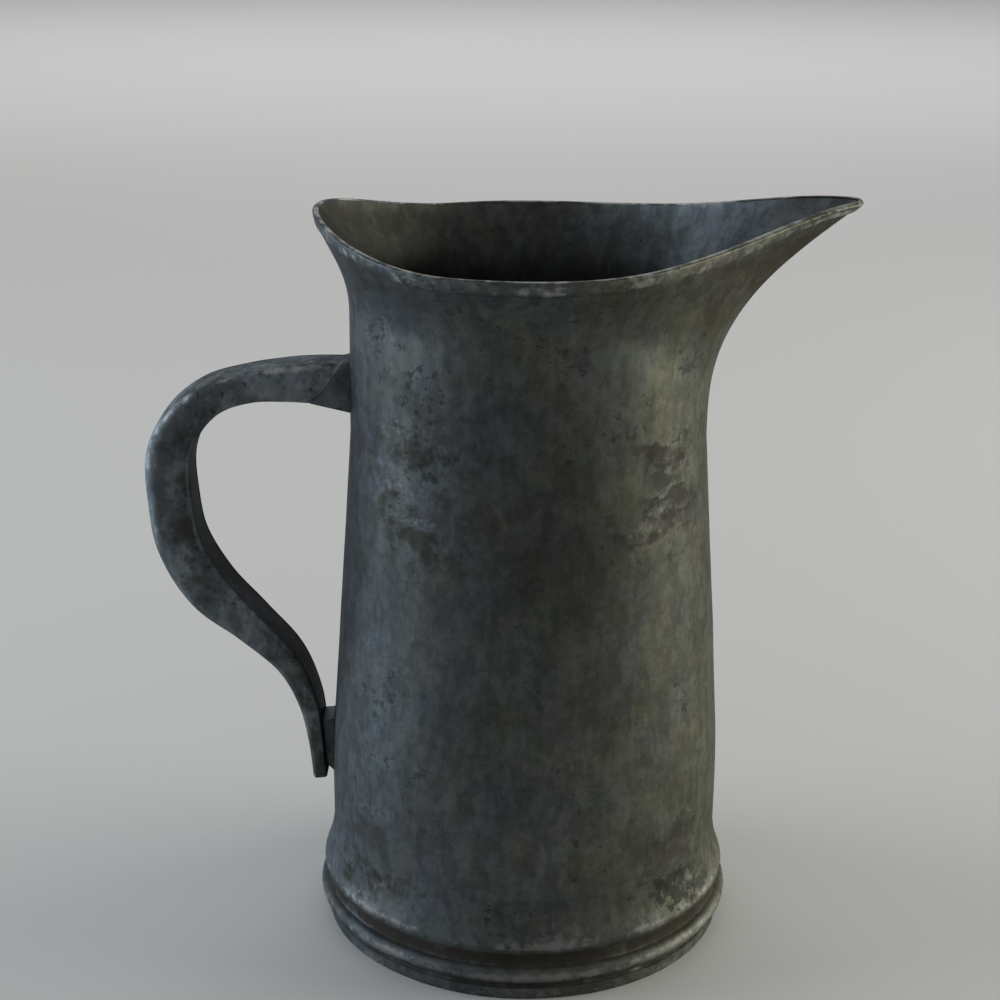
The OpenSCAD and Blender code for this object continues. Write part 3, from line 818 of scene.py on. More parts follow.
def polyline(name, points, closed, attributes):
    """Mesh object of points joined in a row, with float attributes on the points."""
    count = len(points)
    edges = [(k, (k + 1) % count) for k in range(count if closed else count - 1)]
    mesh = bpy.data.meshes.new(name)
    mesh.from_pydata(points, edges, [])
    for key, values in attributes.items():
        if isinstance(values[0], Vector):
            layer = mesh.attributes.new(key, "FLOAT_VECTOR", "POINT")
            layer.data.foreach_set("vector", [part for value in values for part in value])
        else:
            layer = mesh.attributes.new(key, "FLOAT", "POINT")
            layer.data.foreach_set("value", values)
    host = bpy.data.objects.new(name, mesh)
    bpy.context.scene.collection.objects.link(host)
    return host


def bake(host):
    """Turns the evaluated object into a plain mesh and clears its modifiers."""
    depsgraph = bpy.context.evaluated_depsgraph_get()
    evaluated = host.evaluated_get(depsgraph)
    mesh = bpy.data.meshes.new_from_object(evaluated, preserve_all_data_layers=True, depsgraph=depsgraph)
    host.modifiers.clear()
    old = host.data
    host.data = mesh
    bpy.data.meshes.remove(old)
    mesh.name = host.name
    mesh.set_sharp_from_angle(angle=SHARP_ANGLE)
    return host


def grow(host, tree, values):
    """Runs a tree on a host with these named inputs and bakes the result."""
    modifier = host.modifiers.new(tree.name, "NODES")
    modifier.node_group = tree
    for item in tree.interface.items_tree:
        if item.in_out == "INPUT" and item.name in values:
            modifier[item.identifier] = values[item.name]
    return bake(host)


def settle(piece, node):
    """The piece rides on the jug and stands for a node."""
    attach(piece, BODY)
    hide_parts(node)


# Geometry trees

def new_tree(name, sockets):
    return new_group(
        "GeometryNodeTree", name, [("Geometry", GEOMETRY, None)] + sockets, [("Geometry", GEOMETRY)]
    )


def named(nodes, name, data_type="FLOAT"):
    node = nodes.add("GeometryNodeInputNamedAttribute", {"Name": name}, data_type=data_type)
    return node.outputs["Attribute"]


def stored(nodes, geometry, name, value, data_type="FLOAT"):
    sockets = {"Geometry": geometry, "Name": name, "Value": value}
    node = nodes.add("GeometryNodeStoreNamedAttribute", sockets, data_type=data_type, domain="POINT")
    return node.outputs["Geometry"]


def here(nodes):
    return nodes.add("GeometryNodeInputPosition").outputs["Position"]


def moved(nodes, geometry, place):
    return nodes.shape("GeometryNodeSetPosition", {"Geometry": geometry, "Position": place})


def curve_of(nodes, mesh):
    return nodes.shape("GeometryNodeMeshToCurve", {"Mesh": mesh}, "Curve")


def sheet_along(nodes, curve, section, caps=False):
    """Sheet that a section leaves as it runs along a curve."""
    sockets = {"Curve": curve, "Profile Curve": section, "Fill Caps": caps}
    return nodes.shape("GeometryNodeCurveToMesh", sockets, "Mesh")


def uneven(nodes, geometry, direction, amount):
    """Pushes the surface in by an uneven amount, as beaten metal is."""
    wave = nodes.noise(here(nodes), scale=16.0, detail=2.0, roughness=0.55)
    depth = nodes.times(nodes.step(wave, 0.25, 0.75), amount)
    inwards = nodes.scaled(direction, nodes.times(depth, -1.0))
    return nodes.shape("GeometryNodeSetPosition", {"Geometry": geometry, "Offset": inwards})


def radial(nodes):
    """Direction straight out from the jug's axis."""
    return nodes.vector("NORMALIZE", nodes.flat(here(nodes)))


def dressed(nodes, geometry, metal, inner=None):
    """Smooth faces, real instances and the metals; inner goes where the inside attribute is set."""
    smooth_faces = nodes.shape("GeometryNodeSetShadeSmooth", {"Geometry": geometry})
    real = nodes.shape("GeometryNodeRealizeInstances", {"Geometry": smooth_faces})
    done = nodes.shape("GeometryNodeSetMaterial", {"Geometry": real, "Material": metal})
    if inner is None:
        return done
    within = nodes.math("GREATER_THAN", named(nodes, "inside"), 0.5)
    sockets = {"Geometry": done, "Selection": within, "Material": inner}
    return nodes.shape("GeometryNodeSetMaterial", sockets)


def finish_piece(group, geometry, direction, inner=None):
    """Beats the geometry uneven along a direction, dresses it and ends the tree."""
    beaten = uneven(group.nodes, geometry, direction, group.inputs["Unevenness"])
    group.finish({"Geometry": dressed(group.nodes, beaten, group.inputs["Metal"], inner)})


def turned_tree():
    """Turns a closed profile round the jug's axis."""
    group = new_tree(
        "Turned wall",
        [
            ("Segments", INTEGER, ROUND_SEGMENTS),
            ("Unevenness", FLOAT, 0.0),
            ("Metal", MATERIAL, None),
            ("Inner metal", MATERIAL, None),
        ],
    )
    nodes, inputs = group.nodes, group.inputs
    ring = {"Resolution": inputs["Segments"], "Radius": AXIS_R}
    circle = nodes.shape("GeometryNodeCurvePrimitiveCircle", ring, "Curve")
    wall = sheet_along(nodes, circle, curve_of(nodes, inputs["Geometry"]))
    seams = {"Geometry": wall, "Distance": 0.01 * MM}
    wall = nodes.shape("GeometryNodeMergeByDistance", seams)
    finish_piece(group, wall, radial(nodes), inputs["Inner metal"])


# Inputs of the lip's law, each with the group of sizes and the size that give it
LIP_SIZES = {
    "Neck radius": ("jug_wall", "neck_radius"),
    "Neck height": ("jug_wall", "neck_height"),
    "Flare start": ("jug_lip", "neck"),
    "Spout start": ("jug_lip", "spout_start"),
    "Flare power": ("jug_lip", "flare_power"),
    "Flare ease": ("jug_lip", "flare_ease"),
    "Spout power": ("jug_lip", "spout_power"),
    "Spout ease": ("jug_lip", "spout_ease"),
}
LIP_SOCKETS = [(name, FLOAT, 0.0) for name in LIP_SIZES]
# Inputs of the trees that run a section along a line
SWEPT_SOCKETS = [("Section", OBJECT, None), ("Unevenness", FLOAT, 0.0), ("Metal", MATERIAL, None)]


def lip_values(scene):
    """Inputs of the lip's law from the sizes."""
    return {name: getattr(getattr(scene, group), key) for name, (group, key) in LIP_SIZES.items()}


def lip_point_group():
    """Point on the lip's outer face: share 1 is the rim, 0 the start of the flare, -1 the neck's foot."""
    group = new_group(
        "GeometryNodeTree",
        "Lip point",
        [("Rim", VECTOR, None), ("Spout share", FLOAT, 0.0), ("Share", FLOAT, 0.0)] + LIP_SOCKETS,
        [("Point", VECTOR)],
    )
    nodes, inputs = group.nodes, group.inputs
    rim = inputs["Rim"]
    spout = inputs["Spout share"]
    plan = nodes.flat(rim)
    rim_radius = nodes.span(plan)
    rim_height = nodes.parts(rim)["Z"]

    start = nodes.blend(spout, inputs["Flare start"], inputs["Spout start"])
    flare = nodes.plus(inputs["Neck height"], start)
    above = nodes.math("MINIMUM", nodes.math("MAXIMUM", inputs["Share"], 0.0), 1.0)
    below = nodes.math("MINIMUM", inputs["Share"], 0.0)

    power = nodes.blend(spout, inputs["Flare power"], inputs["Spout power"])
    ease = nodes.blend(spout, inputs["Flare ease"], inputs["Spout ease"])
    bent = nodes.minus(1.0, nodes.math("POWER", above, power))
    reach = nodes.minus(1.0, nodes.math("POWER", nodes.math("MAXIMUM", bent, 0.0), ease))
    radius = nodes.blend(reach, inputs["Neck radius"], rim_radius)

    climb = nodes.times(above, nodes.minus(rim_height, flare))
    fall = nodes.times(below, start)
    height = nodes.plus(flare, nodes.plus(climb, fall))
    out = nodes.scaled(nodes.vector("NORMALIZE", plan), radius)
    group.finish({"Point": nodes.vector("ADD", out, nodes.joined(0.0, 0.0, height))})


def lip_point(nodes, inputs, share):
    """Point of the lip's law at a share, below or on the rim point at hand."""
    sockets = {
        "Rim": named(nodes, "rim", "FLOAT_VECTOR"),
        "Spout share": named(nodes, "spout"),
        "Share": share,
    }
    sockets.update((name, inputs[name]) for name in LIP_SIZES)
    return nodes.group("Lip point", sockets)["Point"]


def lip_tree():
    """Drops rows of points from the rim to the foot of the neck by the law of the flare."""
    group = new_tree(
        "Flared lip",
        LIP_SOCKETS
        + [("Rows", INTEGER, LIP_ROWS), ("Edge", FLOAT, 0.0)]
        + [("Unevenness", FLOAT, 0.0), ("Metal", MATERIAL, None)],
    )
    nodes, inputs = group.nodes, group.inputs
    # A line of any length carries the rows; the law places them
    line = nodes.shape("GeometryNodeCurvePrimitiveLine", {"End": (0.0, 0.01, 0.0)}, "Curve")
    rows = nodes.shape("GeometryNodeResampleCurve", {"Curve": line, "Count": inputs["Rows"]}, "Curve")
    factor = nodes.add("GeometryNodeSplineParameter").outputs["Factor"]
    rows = stored(nodes, rows, "down", factor)
    sheet = sheet_along(nodes, curve_of(nodes, inputs["Geometry"]), rows)
    share = nodes.minus(1.0, nodes.times(named(nodes, "down"), 2.0))
    share = nodes.math("MINIMUM", share, inputs["Edge"])
    sheet = moved(nodes, sheet, lip_point(nodes, inputs, share))
    sheet = stored(nodes, sheet, "wear", nodes.step(share, 0.9, 1.0, 0.0, 0.55))
    # Painted shade under the spout, short of the rim
    hidden = nodes.times(nodes.step(share, 0.1, 0.6), nodes.step(share, 0.85, 0.97, 0.75, 0.0))
    hidden = nodes.times(hidden, nodes.step(named(nodes, "spout"), 0.1, 0.6))
    sheet = stored(nodes, sheet, "grime", hidden)
    finish_piece(group, sheet, radial(nodes))


def section_curve(nodes, inputs):
    """Curve of the section that a tree runs along its line."""
    return curve_of(nodes, nodes.shape("GeometryNodeObjectInfo", {"Object": inputs["Section"]}))


def rim_tree():
    """Runs a section along the rim, measured down from the edge and out from the lip's face."""
    group = new_tree("Rim band", LIP_SOCKETS + SWEPT_SOCKETS)
    nodes, inputs = group.nodes, group.inputs
    tangent = nodes.add("GeometryNodeInputTangent").outputs["Tangent"]
    rim = stored(nodes, curve_of(nodes, inputs["Geometry"]), "along", tangent, "FLOAT_VECTOR")
    band = sheet_along(nodes, rim, section_curve(nodes, inputs))

    run = nodes.span(lip_point(nodes, inputs, 1.0), lip_point(nodes, inputs, 1.0 - RIM_SHARE))
    run = nodes.math("DIVIDE", run, RIM_SHARE)
    share = nodes.minus(1.0, nodes.math("DIVIDE", named(nodes, "down"), run))
    step = 0.01
    level = nodes.math("MINIMUM", share, 1.0 - 2 * step)
    upper = lip_point(nodes, inputs, nodes.plus(level, step))
    lower = lip_point(nodes, inputs, nodes.minus(level, step))
    climb = nodes.vector("SUBTRACT", upper, lower)
    along = named(nodes, "along", "FLOAT_VECTOR")
    out = nodes.vector("NORMALIZE", nodes.vector("CROSS_PRODUCT", along, climb))
    # The rim may run either way round, so the outward side is the one away from the axis
    side = nodes.add("ShaderNodeVectorMath", {0: out, 1: radial(nodes)}, operation="DOT_PRODUCT")
    out = nodes.scaled(out, nodes.math("SIGN", side.outputs["Value"]))
    place = nodes.vector("ADD", lip_point(nodes, inputs, share), nodes.scaled(out, named(nodes, "out")))
    band = moved(nodes, band, place)
    # Towards the spout and above the handle the strip is rubbed more
    around = nodes.parts(named(nodes, "rim", "FLOAT_VECTOR"))["X"]
    ends = nodes.plus(named(nodes, "spout"), nodes.step(around, *BAND_HANDLE_SIDE, 0.8, 0.0))
    strip = nodes.step(named(nodes, "down"), *BAND_STRIP, 0.0, 0.4)
    more = nodes.plus(1.0, nodes.times(ends, strip))
    band = stored(nodes, band, "wear", nodes.times(named(nodes, "wear"), more))
    finish_piece(group, band, radial(nodes))


def handle_tree():
    """Runs a section along the handle; its depth follows the handle's thickness."""
    group = new_tree("Handle run", SWEPT_SOCKETS)
    nodes, inputs = group.nodes, group.inputs
    path = stored(nodes, curve_of(nodes, inputs["Geometry"]), "middle", here(nodes), "FLOAT_VECTOR")
    run = sheet_along(nodes, path, section_curve(nodes, inputs), caps=True)

    half = nodes.times(named(nodes, "thick"), 0.5)
    out = nodes.plus(nodes.times(named(nodes, "side"), half), named(nodes, "off"))
    back = nodes.step(named(nodes, "side"), 0.0, 1.0)
    out = nodes.plus(out, nodes.times(named(nodes, "swell"), back))
    push = nodes.times(nodes.times(named(nodes, "lean"), out), -1.0)
    # The upper end is pinched in round the bracket
    pinch = nodes.times(nodes.math("POWER", named(nodes, "end"), 1.5), PINCH)
    across = nodes.times(named(nodes, "across"), nodes.minus(1.0, pinch))
    place = nodes.vector("ADD", named(nodes, "middle", "FLOAT_VECTOR"), nodes.joined(0.0, across, 0.0))
    place = nodes.vector("ADD", place, nodes.scaled(named(nodes, "outward", "FLOAT_VECTOR"), out))
    place = nodes.vector("ADD", place, nodes.scaled(named(nodes, "ahead", "FLOAT_VECTOR"), push))
    run = moved(nodes, run, place)
    # The top run is rubbed more than the rest, and the upper end all round
    rubbed = nodes.times(named(nodes, "wear"), named(nodes, "rub"))
    rubbed = nodes.math("MAXIMUM", rubbed, nodes.times(named(nodes, "end"), 0.75))
    # Below the top run the sides get more painted shade, so the top run stays lighter
    shade_below_top_run = nodes.step(named(nodes, "rub"), 1 - RUB_LOSS, 1.0, 1.0, 0.6)
    run = stored(nodes, run, "grime", nodes.times(named(nodes, "grime"), shade_below_top_run))
    run = stored(nodes, run, "wear", rubbed)
    finish_piece(group, run, nodes.add("GeometryNodeInputNormal").outputs["Normal"])


# Profiles

ProfilePoint = namedtuple("ProfilePoint", "radius height wear grime inside", defaults=(0.0, 0.0, 0.0))


def turned(name, profile, unevenness, metal, inner=None):
    """Turns a closed profile, given from the top down outside and up inside, into a piece."""
    points = [(p.radius - AXIS_R, -p.height, 0.0) for p in profile]
    marks = {key: [getattr(p, key) for p in profile] for key in ("wear", "grime", "inside")}
    values = {
        "Segments": ROUND_SEGMENTS,
        "Unevenness": unevenness,
        "Metal": metal,
        "Inner metal": inner or metal,
    }
    return grow(polyline(name, points, True, marks), bpy.data.node_groups["Turned wall"], values)


def barrel_profile(wall):
    levels = [
        wall.neck_height + (wall.bottom - wall.neck_height) * k / BARREL_ROWS for k in range(BARREL_ROWS + 1)
    ]
    outer = [ProfilePoint(barrel_radius(wall, z), z) for z in levels]
    inner = [ProfilePoint(barrel_radius(wall, z) - wall.sheet, z, inside=1.0) for z in reversed(levels)]
    return outer + inner


def arc(centre, radii, start, end, mark):
    """Elliptic arc of profile points; mark gives wear and grime from the share along the arc."""
    points = []
    for k in range(ARC_STEPS + 1):
        share = k / ARC_STEPS
        angle = start + (end - start) * share
        wear, grime = mark(share)
        radius = centre[0] + radii[0] * cos(angle)
        points.append(ProfilePoint(radius, centre[1] + radii[1] * sin(angle), wear, grime))
    return points


def foot_profile(wall, foot):
    """Foot ring from its top edge down over sweep, beads and band, under the rest and up inside."""
    root = wall.radius + foot.root
    lower_bead = foot.band + foot.groove
    cove = lower_bead + foot.lower_bead
    upper_bead = cove + foot.cove
    sweep = upper_bead + foot.upper_bead / 2 * (1 + sin(CREST_TURN))
    sweep_root = root + foot.upper_bead_out * cos(CREST_TURN)
    top = FOOT_HIGH.z
    bore = wall.radius - foot.edge
    corner = 0.7 * MM

    # The grime in the cove and the groove is dirt and painted shade in the hollow
    def hollow(z, height, depth, grime):
        def mark(t):
            return 0.0, grime * (0.6 + 0.4 * sin(pi * t))

        centre = (root, z + height / 2)
        return arc(centre, (depth, height / 2), 1.5 * pi, 0.5 * pi, mark)

    def bead(z, height, out, end, mark):
        centre = (root, z + height / 2)
        return arc(centre, (out, height / 2), -0.5 * pi, end, mark)

    # The grime on the beads' lower flanks is painted shade where they turn into the hollows
    def round_bead(t):
        return 0.72 * sin(pi * t) ** 3, 0.8 * (1 - t) ** 3 + 0.3 * t ** 3

    def crest_bead(t):
        climbed = min(1, t * (0.5 * pi + CREST_TURN) / (0.5 * pi))
        return 0.62 * climbed ** 3, 0.6 * (1 - climbed) ** 2

    # The grime under the rest and on the ledge is dirt and painted shade under the jug
    rest = [ProfilePoint(root - foot.rest, 0.0, grime=0.6)]
    # The band's pale wear is partly real wear and partly painted light that pales the band in the floor's
    # shadow
    rim = arc((root - corner, corner), (corner, corner), -0.5 * pi, 0.0, lambda t: (0.5 * t, 0.0))
    rim.append(ProfilePoint(root, foot.band - corner, wear=0.45))
    rise = []
    for k in range(1, ARC_STEPS + 1):
        t = k / ARC_STEPS
        radius = bore + (sweep_root - bore) * (1 - t) ** 2.2
        rise.append(ProfilePoint(radius, sweep + (top - sweep) * t, wear=0.48 * (1 - t)))
    outside = (
        rest
        + rim
        + hollow(foot.band, foot.groove, foot.groove_depth, grime=0.8)
        + bead(lower_bead, foot.lower_bead, foot.lower_bead_out, 0.5 * pi, round_bead)
        + hollow(cove, foot.cove, foot.cove_depth, grime=1.0)
        + bead(upper_bead, foot.upper_bead, foot.upper_bead_out, CREST_TURN, crest_bead)
        + rise
    )
    within = [
        ProfilePoint(root - foot.rest, foot.ledge, grime=0.6),
        ProfilePoint(bore, foot.ledge, grime=0.6),
        ProfilePoint(bore, top),
    ]
    return list(reversed(outside)) + within


def base_profile(wall):
    """Base plate from the middle of its top out to the edge and back underneath."""
    slope = []
    for k in range(SLOPE_STEPS + 1):
        t = k / SLOPE_STEPS
        slope.append((wall.kick_radius + wall.kick_slope * t, wall.kick * (1 - smooth(t))))
    line = [(0.0, wall.kick), (wall.kick_radius / 2, wall.kick)] + slope + [(wall.base_radius, 0.0)]
    upper = [ProfilePoint(r, wall.base_height + wall.sheet + h, inside=1.0) for r, h in line]
    lower = [ProfilePoint(r, wall.base_height + h) for r, h in reversed(line)]
    return upper + lower


def solder_profile(wall):
    """Hollow fillet between the base plate and the barrel's wall."""
    corner = ProfilePoint(wall.radius - wall.sheet, wall.base_height + wall.sheet)
    centre = (corner.radius - wall.solder_leg, corner.height + wall.solder_leg)
    # The fillet's grime is dirt and painted shade in the corner
    fillet = arc(centre, (wall.solder_leg, wall.solder_leg), 0.0, -0.5 * pi, lambda t: (0.0, 0.25))
    return list(reversed(fillet)) + [corner]


def skirt_profile(wall, lip):
    """Skirt of the collar inside the top of the barrel."""
    low = wall.neck_height - lip.lap
    step = 3 * MM
    feather = 0.1 * MM
    top_r = wall.neck_radius - wall.sheet
    low_r = barrel_radius(wall, low) - wall.sheet
    return [
        ProfilePoint(top_r, wall.neck_height + step, inside=1.0),
        ProfilePoint(top_r, wall.neck_height, inside=1.0),
        ProfilePoint(low_r, low, inside=1.0),
        # The grime at the skirt's lower edge is dirt and painted shade where it meets the barrel
        ProfilePoint(low_r - wall.sheet, low, grime=0.5, inside=1.0),
        ProfilePoint(top_r - wall.sheet, wall.neck_height, inside=1.0),
        ProfilePoint(top_r - feather, wall.neck_height + step, inside=1.0),
    ]


# Lip and band

def rim_line(name, wall, lip):
    """Closed polyline along the rim, with its own point and the spout's share on each point."""
    plan = LipPlan(wall, lip)
    angles = plan.angles()
    points = [plan.point(angle) for angle in angles]
    return polyline(name, points, True, {"rim": points, "spout": [plan.spout_share(a) for a in angles]})


SectionPoint = namedtuple("SectionPoint", "down out wear grime", defaults=(0.0, 0.0))


def band_section(wall, lip):
    """Section of the rim band: a thin round edge over the rim, then a strip that thins out downwards."""
    play = 0.05 * MM
    mid = lip.bead_height / 2
    half = (lip.bead + wall.sheet) / 2 + play
    centre = lip.bead - half
    points = []
    for k in range(ARC_STEPS + 1):
        angle = EDGE_TURN * (1 - k / ARC_STEPS)
        wear = 0.63 if angle > pi / 3 else 0.2 + 0.4 * max(0, sin(angle))
        points.append(SectionPoint(mid - mid * sin(angle), centre + half * cos(angle), wear))
    sunk = -0.3 * MM
    return points + [
        SectionPoint(lip.bead_height + 0.4 * MM, (lip.bead + lip.band) / 2, wear=0.4),
        SectionPoint(lip.bead_height + 1.4 * MM, lip.band, wear=0.42),
        SectionPoint(lip.band_width - 1.6 * MM, lip.band * 0.9, wear=0.42),
        SectionPoint(lip.band_width - 0.7 * MM, lip.band * 0.6, wear=0.3),
        SectionPoint(lip.band_width, 0.0),
        SectionPoint(lip.band_width - 0.2 * MM, sunk),
        SectionPoint(lip.bead_height, sunk),
    ]


def section_host(name, fields):
    """Closed polyline whose points only carry attributes; a tree places them."""
    count = len(next(iter(fields.values())))
    ring = [(cos(2 * pi * k / count) * MM, -sin(2 * pi * k / count) * MM, 0.0) for k in range(count)]
    return polyline(name, ring, True, fields)


# Handle

class HandleLine:
    """Middle line of the handle, through the route's points on a smooth curve."""

    def __init__(self, wall, handle):
        self.handle = handle
        route = []
        for out, drop, thick in HANDLE_ROUTE:
            z = handle.top - drop * MM
            route.append(Vector((-(wall_radius(wall, z) + out * MM), z, thick * MM)))
        self.route = route
        last = len(route) - 1
        line = [self.between(k, j / ROUTE_STEPS) for k in range(last) for j in range(ROUTE_STEPS)]
        self.line = line + [route[last]]

    def route_at(self, k):
        return self.route[limited(k, 0, len(self.route) - 1)]

    def between(self, k, t):
        before, p, q, after = (self.route_at(k + n) for n in (-1, 0, 1, 2))
        leave = (q - before) / 2
        arrive = (after - p) / 2
        ends = p * (1 + t * t * (2 * t - 3)) + q * (t * t * (3 - 2 * t))
        return ends + leave * (t * (1 - t) ** 2) + arrive * (t * t * (t - 1))

    def along(self, k):
        last = len(self.line) - 1
        step = self.line[min(k + 1, last)] - self.line[max(k - 1, 0)]
        return Vector((step.x, 0.0, step.y)).normalized()

    def outward(self, k):
        ahead = self.along(k)
        return Vector((ahead.z, 0.0, -ahead.x))

    def middle(self, k):
        return Vector((self.line[k].x, 0.0, self.line[k].y))

    def lean(self, k):
        return self.handle.slant * max(0, 1 - k / LEAN_STEPS)

    def point(self, k, out):
        return self.middle(k) + self.outward(k) * out - self.along(k) * (self.lean(k) * out)

    def rub(self, k):
        """How much the edges are rubbed: fully along the top run, and less below it."""
        return 1 - RUB_LOSS * smooth(limited((self.handle.top - self.line[k].y) / RUB_DROP, 0, 1))

    def swell(self, k):
        """How much the back rises towards the bracket."""
        return self.handle.swell * (1 - smooth(min(1, k / SWELL_STEPS)))

    def fields(self, steps):
        """Directions, thickness and wear at these steps."""
        return {
            "outward": [self.outward(k) for k in steps],
            "ahead": [self.along(k) for k in steps],
            "thick": [self.line[k].z for k in steps],
            "lean": [self.lean(k) for k in steps],
            "end": [max(0.0, 1 - k / END_STEPS) for k in steps],
            "rub": [self.rub(k) for k in steps],
            "swell": [self.swell(k) for k in steps],
        }

    def host(self, name):
        """Path of the whole handle."""
        steps = range(len(self.line))
        return polyline(name, [self.middle(k) for k in steps], False, self.fields(steps))

    def tail_host(self, name, length):
        """Short path beyond the handle's lower end, rubbed as the top run is."""
        last = len(self.line) - 1
        points = [self.middle(last) + self.along(last) * reach for reach in (0.0, length / 2, length)]
        fields = {**self.fields([last] * len(points)), "rub": [1.0] * len(points)}
        return polyline(name, points, False, fields)


HandlePoint = namedtuple("HandlePoint", "across side off wear grime", defaults=(0.0, 0.0))


def corner_points(handle, radius, half, off, wear, grime):
    """Round from a side wall at half the width, at plus y, up to the back of the handle."""
    points = []
    for k in range(CORNER_STEPS + 1):
        share = k / CORNER_STEPS
        angle = pi / 2 * share
        across = half - radius + radius * cos(angle)
        side = 1.0 - handle.corner_depth * (1.0 - sin(angle))
        # The grime fading from the side wall to the back is painted shade on the handle's sides
        points.append(HandlePoint(across, side, off, wear * sin(pi * share) ** 2, grime * (1.0 - share)))
    return points


def mirrored(points):
    """The same points on the other side of the handle, in reverse order."""
    return [HandlePoint(-p.across, p.side, p.off, p.wear, p.grime) for p in reversed(points)]


def outer_points(handle):
    """Outside of the handle from the edge of one wall over the back to the edge of the other."""
    half = handle.width / 2
    right = [
        # The grime towards the open edge is painted shade on the handle's sides near the strap
        HandlePoint(half - 1.1 * MM, -1.0, 0.0, 0.3),
        HandlePoint(half - 0.5 * MM, -1.0, 0.25 * MM, 0.45),
        HandlePoint(half - 0.1 * MM, -0.8, 0.0, 0.1, 0.64),
        HandlePoint(half, -0.3, 0.0, 0.0, 0.55),
    ]
    right += corner_points(handle, handle.corner, half, off=0.0, wear=0.62, grime=0.45)
    return list(reversed(right + mirrored(right)))


def gutter_section(handle):
    """U-shaped section of the handle, with round outer edges."""
    half = handle.width / 2 - handle.sheet
    # The inner edge's grime is painted shade in the crease beside the strap
    right = [HandlePoint(half, -1.0, 0.1 * MM, 0.0, 1.0)]
    within = handle.corner - handle.sheet
    right += corner_points(handle, within, half, off=-handle.sheet, wear=0.0, grime=0.0)
    return outer_points(handle) + right + mirrored(right)


def strap_section(handle):
    """Flat strap between the handle's walls, with grime and painted shade along both edges."""
    half = handle.strap_width / 2
    low = handle.recess
    high = handle.recess + handle.strap
    lip = 0.3 * MM
    face = [
        HandlePoint(half, -1.0, low + lip, 0.0, 1.0),
        HandlePoint(half - lip, -1.0, low, 0.0, 0.9),
        HandlePoint(half - 1.6 * MM, -1.0, low, 0.1, 0.25),
    ]
    middle = [HandlePoint(0.0, -1.0, low, 0.2)]
    hidden = [HandlePoint(-half, -1.0, high), HandlePoint(half, -1.0, high)]
    return face + middle + mirrored(face) + hidden


def section_fields(points):
    return {key: [getattr(p, key) for p in points] for key in points[0]._fields}


def swept(name, host, section, values, tree_name):
    """Runs a section along a host with a tree, and clears the section away."""
    guide = section_host(name + ".section", section_fields(section))
    piece = grow(host, bpy.data.node_groups[tree_name], {"Section": guide, **values})
    mesh = guide.data
    bpy.data.objects.remove(guide)
    bpy.data.meshes.remove(mesh)
    return piece


def plate_piece(name, outline, width, seat, metal, edge):
    """Side view turned into a plate across the jug; seat bends the wall end to the jug's round."""
    count = len(outline)
    columns = [width * (k / (PLATE_COLUMNS - 1) - 0.5) for k in range(PLATE_COLUMNS)]
    points = [seat(corner, y) for y in columns for corner in outline]
    faces = [tuple(reversed(range(count)))]
    faces.append(tuple((PLATE_COLUMNS - 1) * count + k for k in range(count)))
    for column in range(PLATE_COLUMNS - 1):
        for k in range(count):
            a = column * count + k
            b = column * count + (k + 1) % count
            faces.append((a, b, b + count, a + count))
    mesh = bpy.data.meshes.new(name)
    mesh.from_pydata(points, [], faces)
    mesh.materials.append(metal)
    mesh.shade_smooth()
    piece = bpy.data.objects.new(name, mesh)
    bpy.context.scene.collection.objects.link(piece)
    return rounded(piece, edge, segments=3)


def rounded(piece, width, segments):
    """Rounds the sharp edges and bakes the piece."""
    bevel = piece.modifiers.new("Rounded edges", "BEVEL")
    bevel.width = width
    bevel.segments = segments
    bevel.limit_method = "ANGLE"
    bevel.angle_limit = ROUNDED_ANGLE
    return bake(piece)


# A corner with this x lies on the jug's wall, wherever that is
ON_WALL = 1.0


def bracket_outline(line, handle):
    """Side view of the bracket: a tongue inside the handle, a shoulder, and the foot on the wall."""
    half = line.line[0].z / 2
    end = line.line[0].x
    low = handle.recess + handle.strap - half + handle.gap
    high = half - handle.sheet - handle.gap

    def shoulder(out):
        return (end + handle.slant * out - handle.overlap, handle.top + out)

    return [
        (end - handle.tongue, handle.top + low),
        shoulder(low),
        shoulder(-half),
        (ON_WALL, handle.top - handle.bracket_below),
        (ON_WALL, handle.top + handle.bracket_above),
        shoulder(half + handle.swell),
        shoulder(high),
        (end - handle.tongue, handle.top + high),
    ]


def strut_outline(line, handle):
    """Side view of the strut from the strap's inner face to the barrel."""
    seat = []
    for k in range(len(line.line)):
        place = line.point(k, handle.recess - line.line[k].z / 2)
        if handle.strut_low + handle.strut_flare <= place.z <= handle.strut_top:
            seat.append((place.x, place.z))
    return list(reversed([(ON_WALL, handle.strut_top)] + seat + [(ON_WALL, handle.strut_low)]))


# Stage

def make_floor(stage):
    half = 12.0
    mesh = bpy.data.meshes.new("Floor")
    corners = [(-half, -half, 0), (half, -half, 0), (half, half, 0), (-half, half, 0)]
    mesh.from_pydata(corners, [], [(0, 1, 2, 3)])
    material = bpy.data.materials.new("Pale floor")
    material.use_nodes = True
    surface = material.node_tree.nodes["Principled BSDF"]
    surface.inputs["Base Color"].default_value = opaque(stage.floor)
    surface.inputs["Roughness"].default_value = 0.9
    surface.inputs["Specular IOR Level"].default_value = 0.1
    mesh.materials.append(material)
    floor = bpy.data.objects.new("Floor", mesh)
    bpy.context.scene.collection.objects.link(floor)


def make_world(scene, stage):
    """Even daylight from all round."""
    world = bpy.data.worlds.new("Studio")
    world.use_nodes = True
    scene.world = world
    sky = world.node_tree.nodes["Background"]
    sky.inputs["Color"].default_value = (1.0, 1.0, 1.0, 1.0)
    sky.inputs["Strength"].default_value = stage.daylight


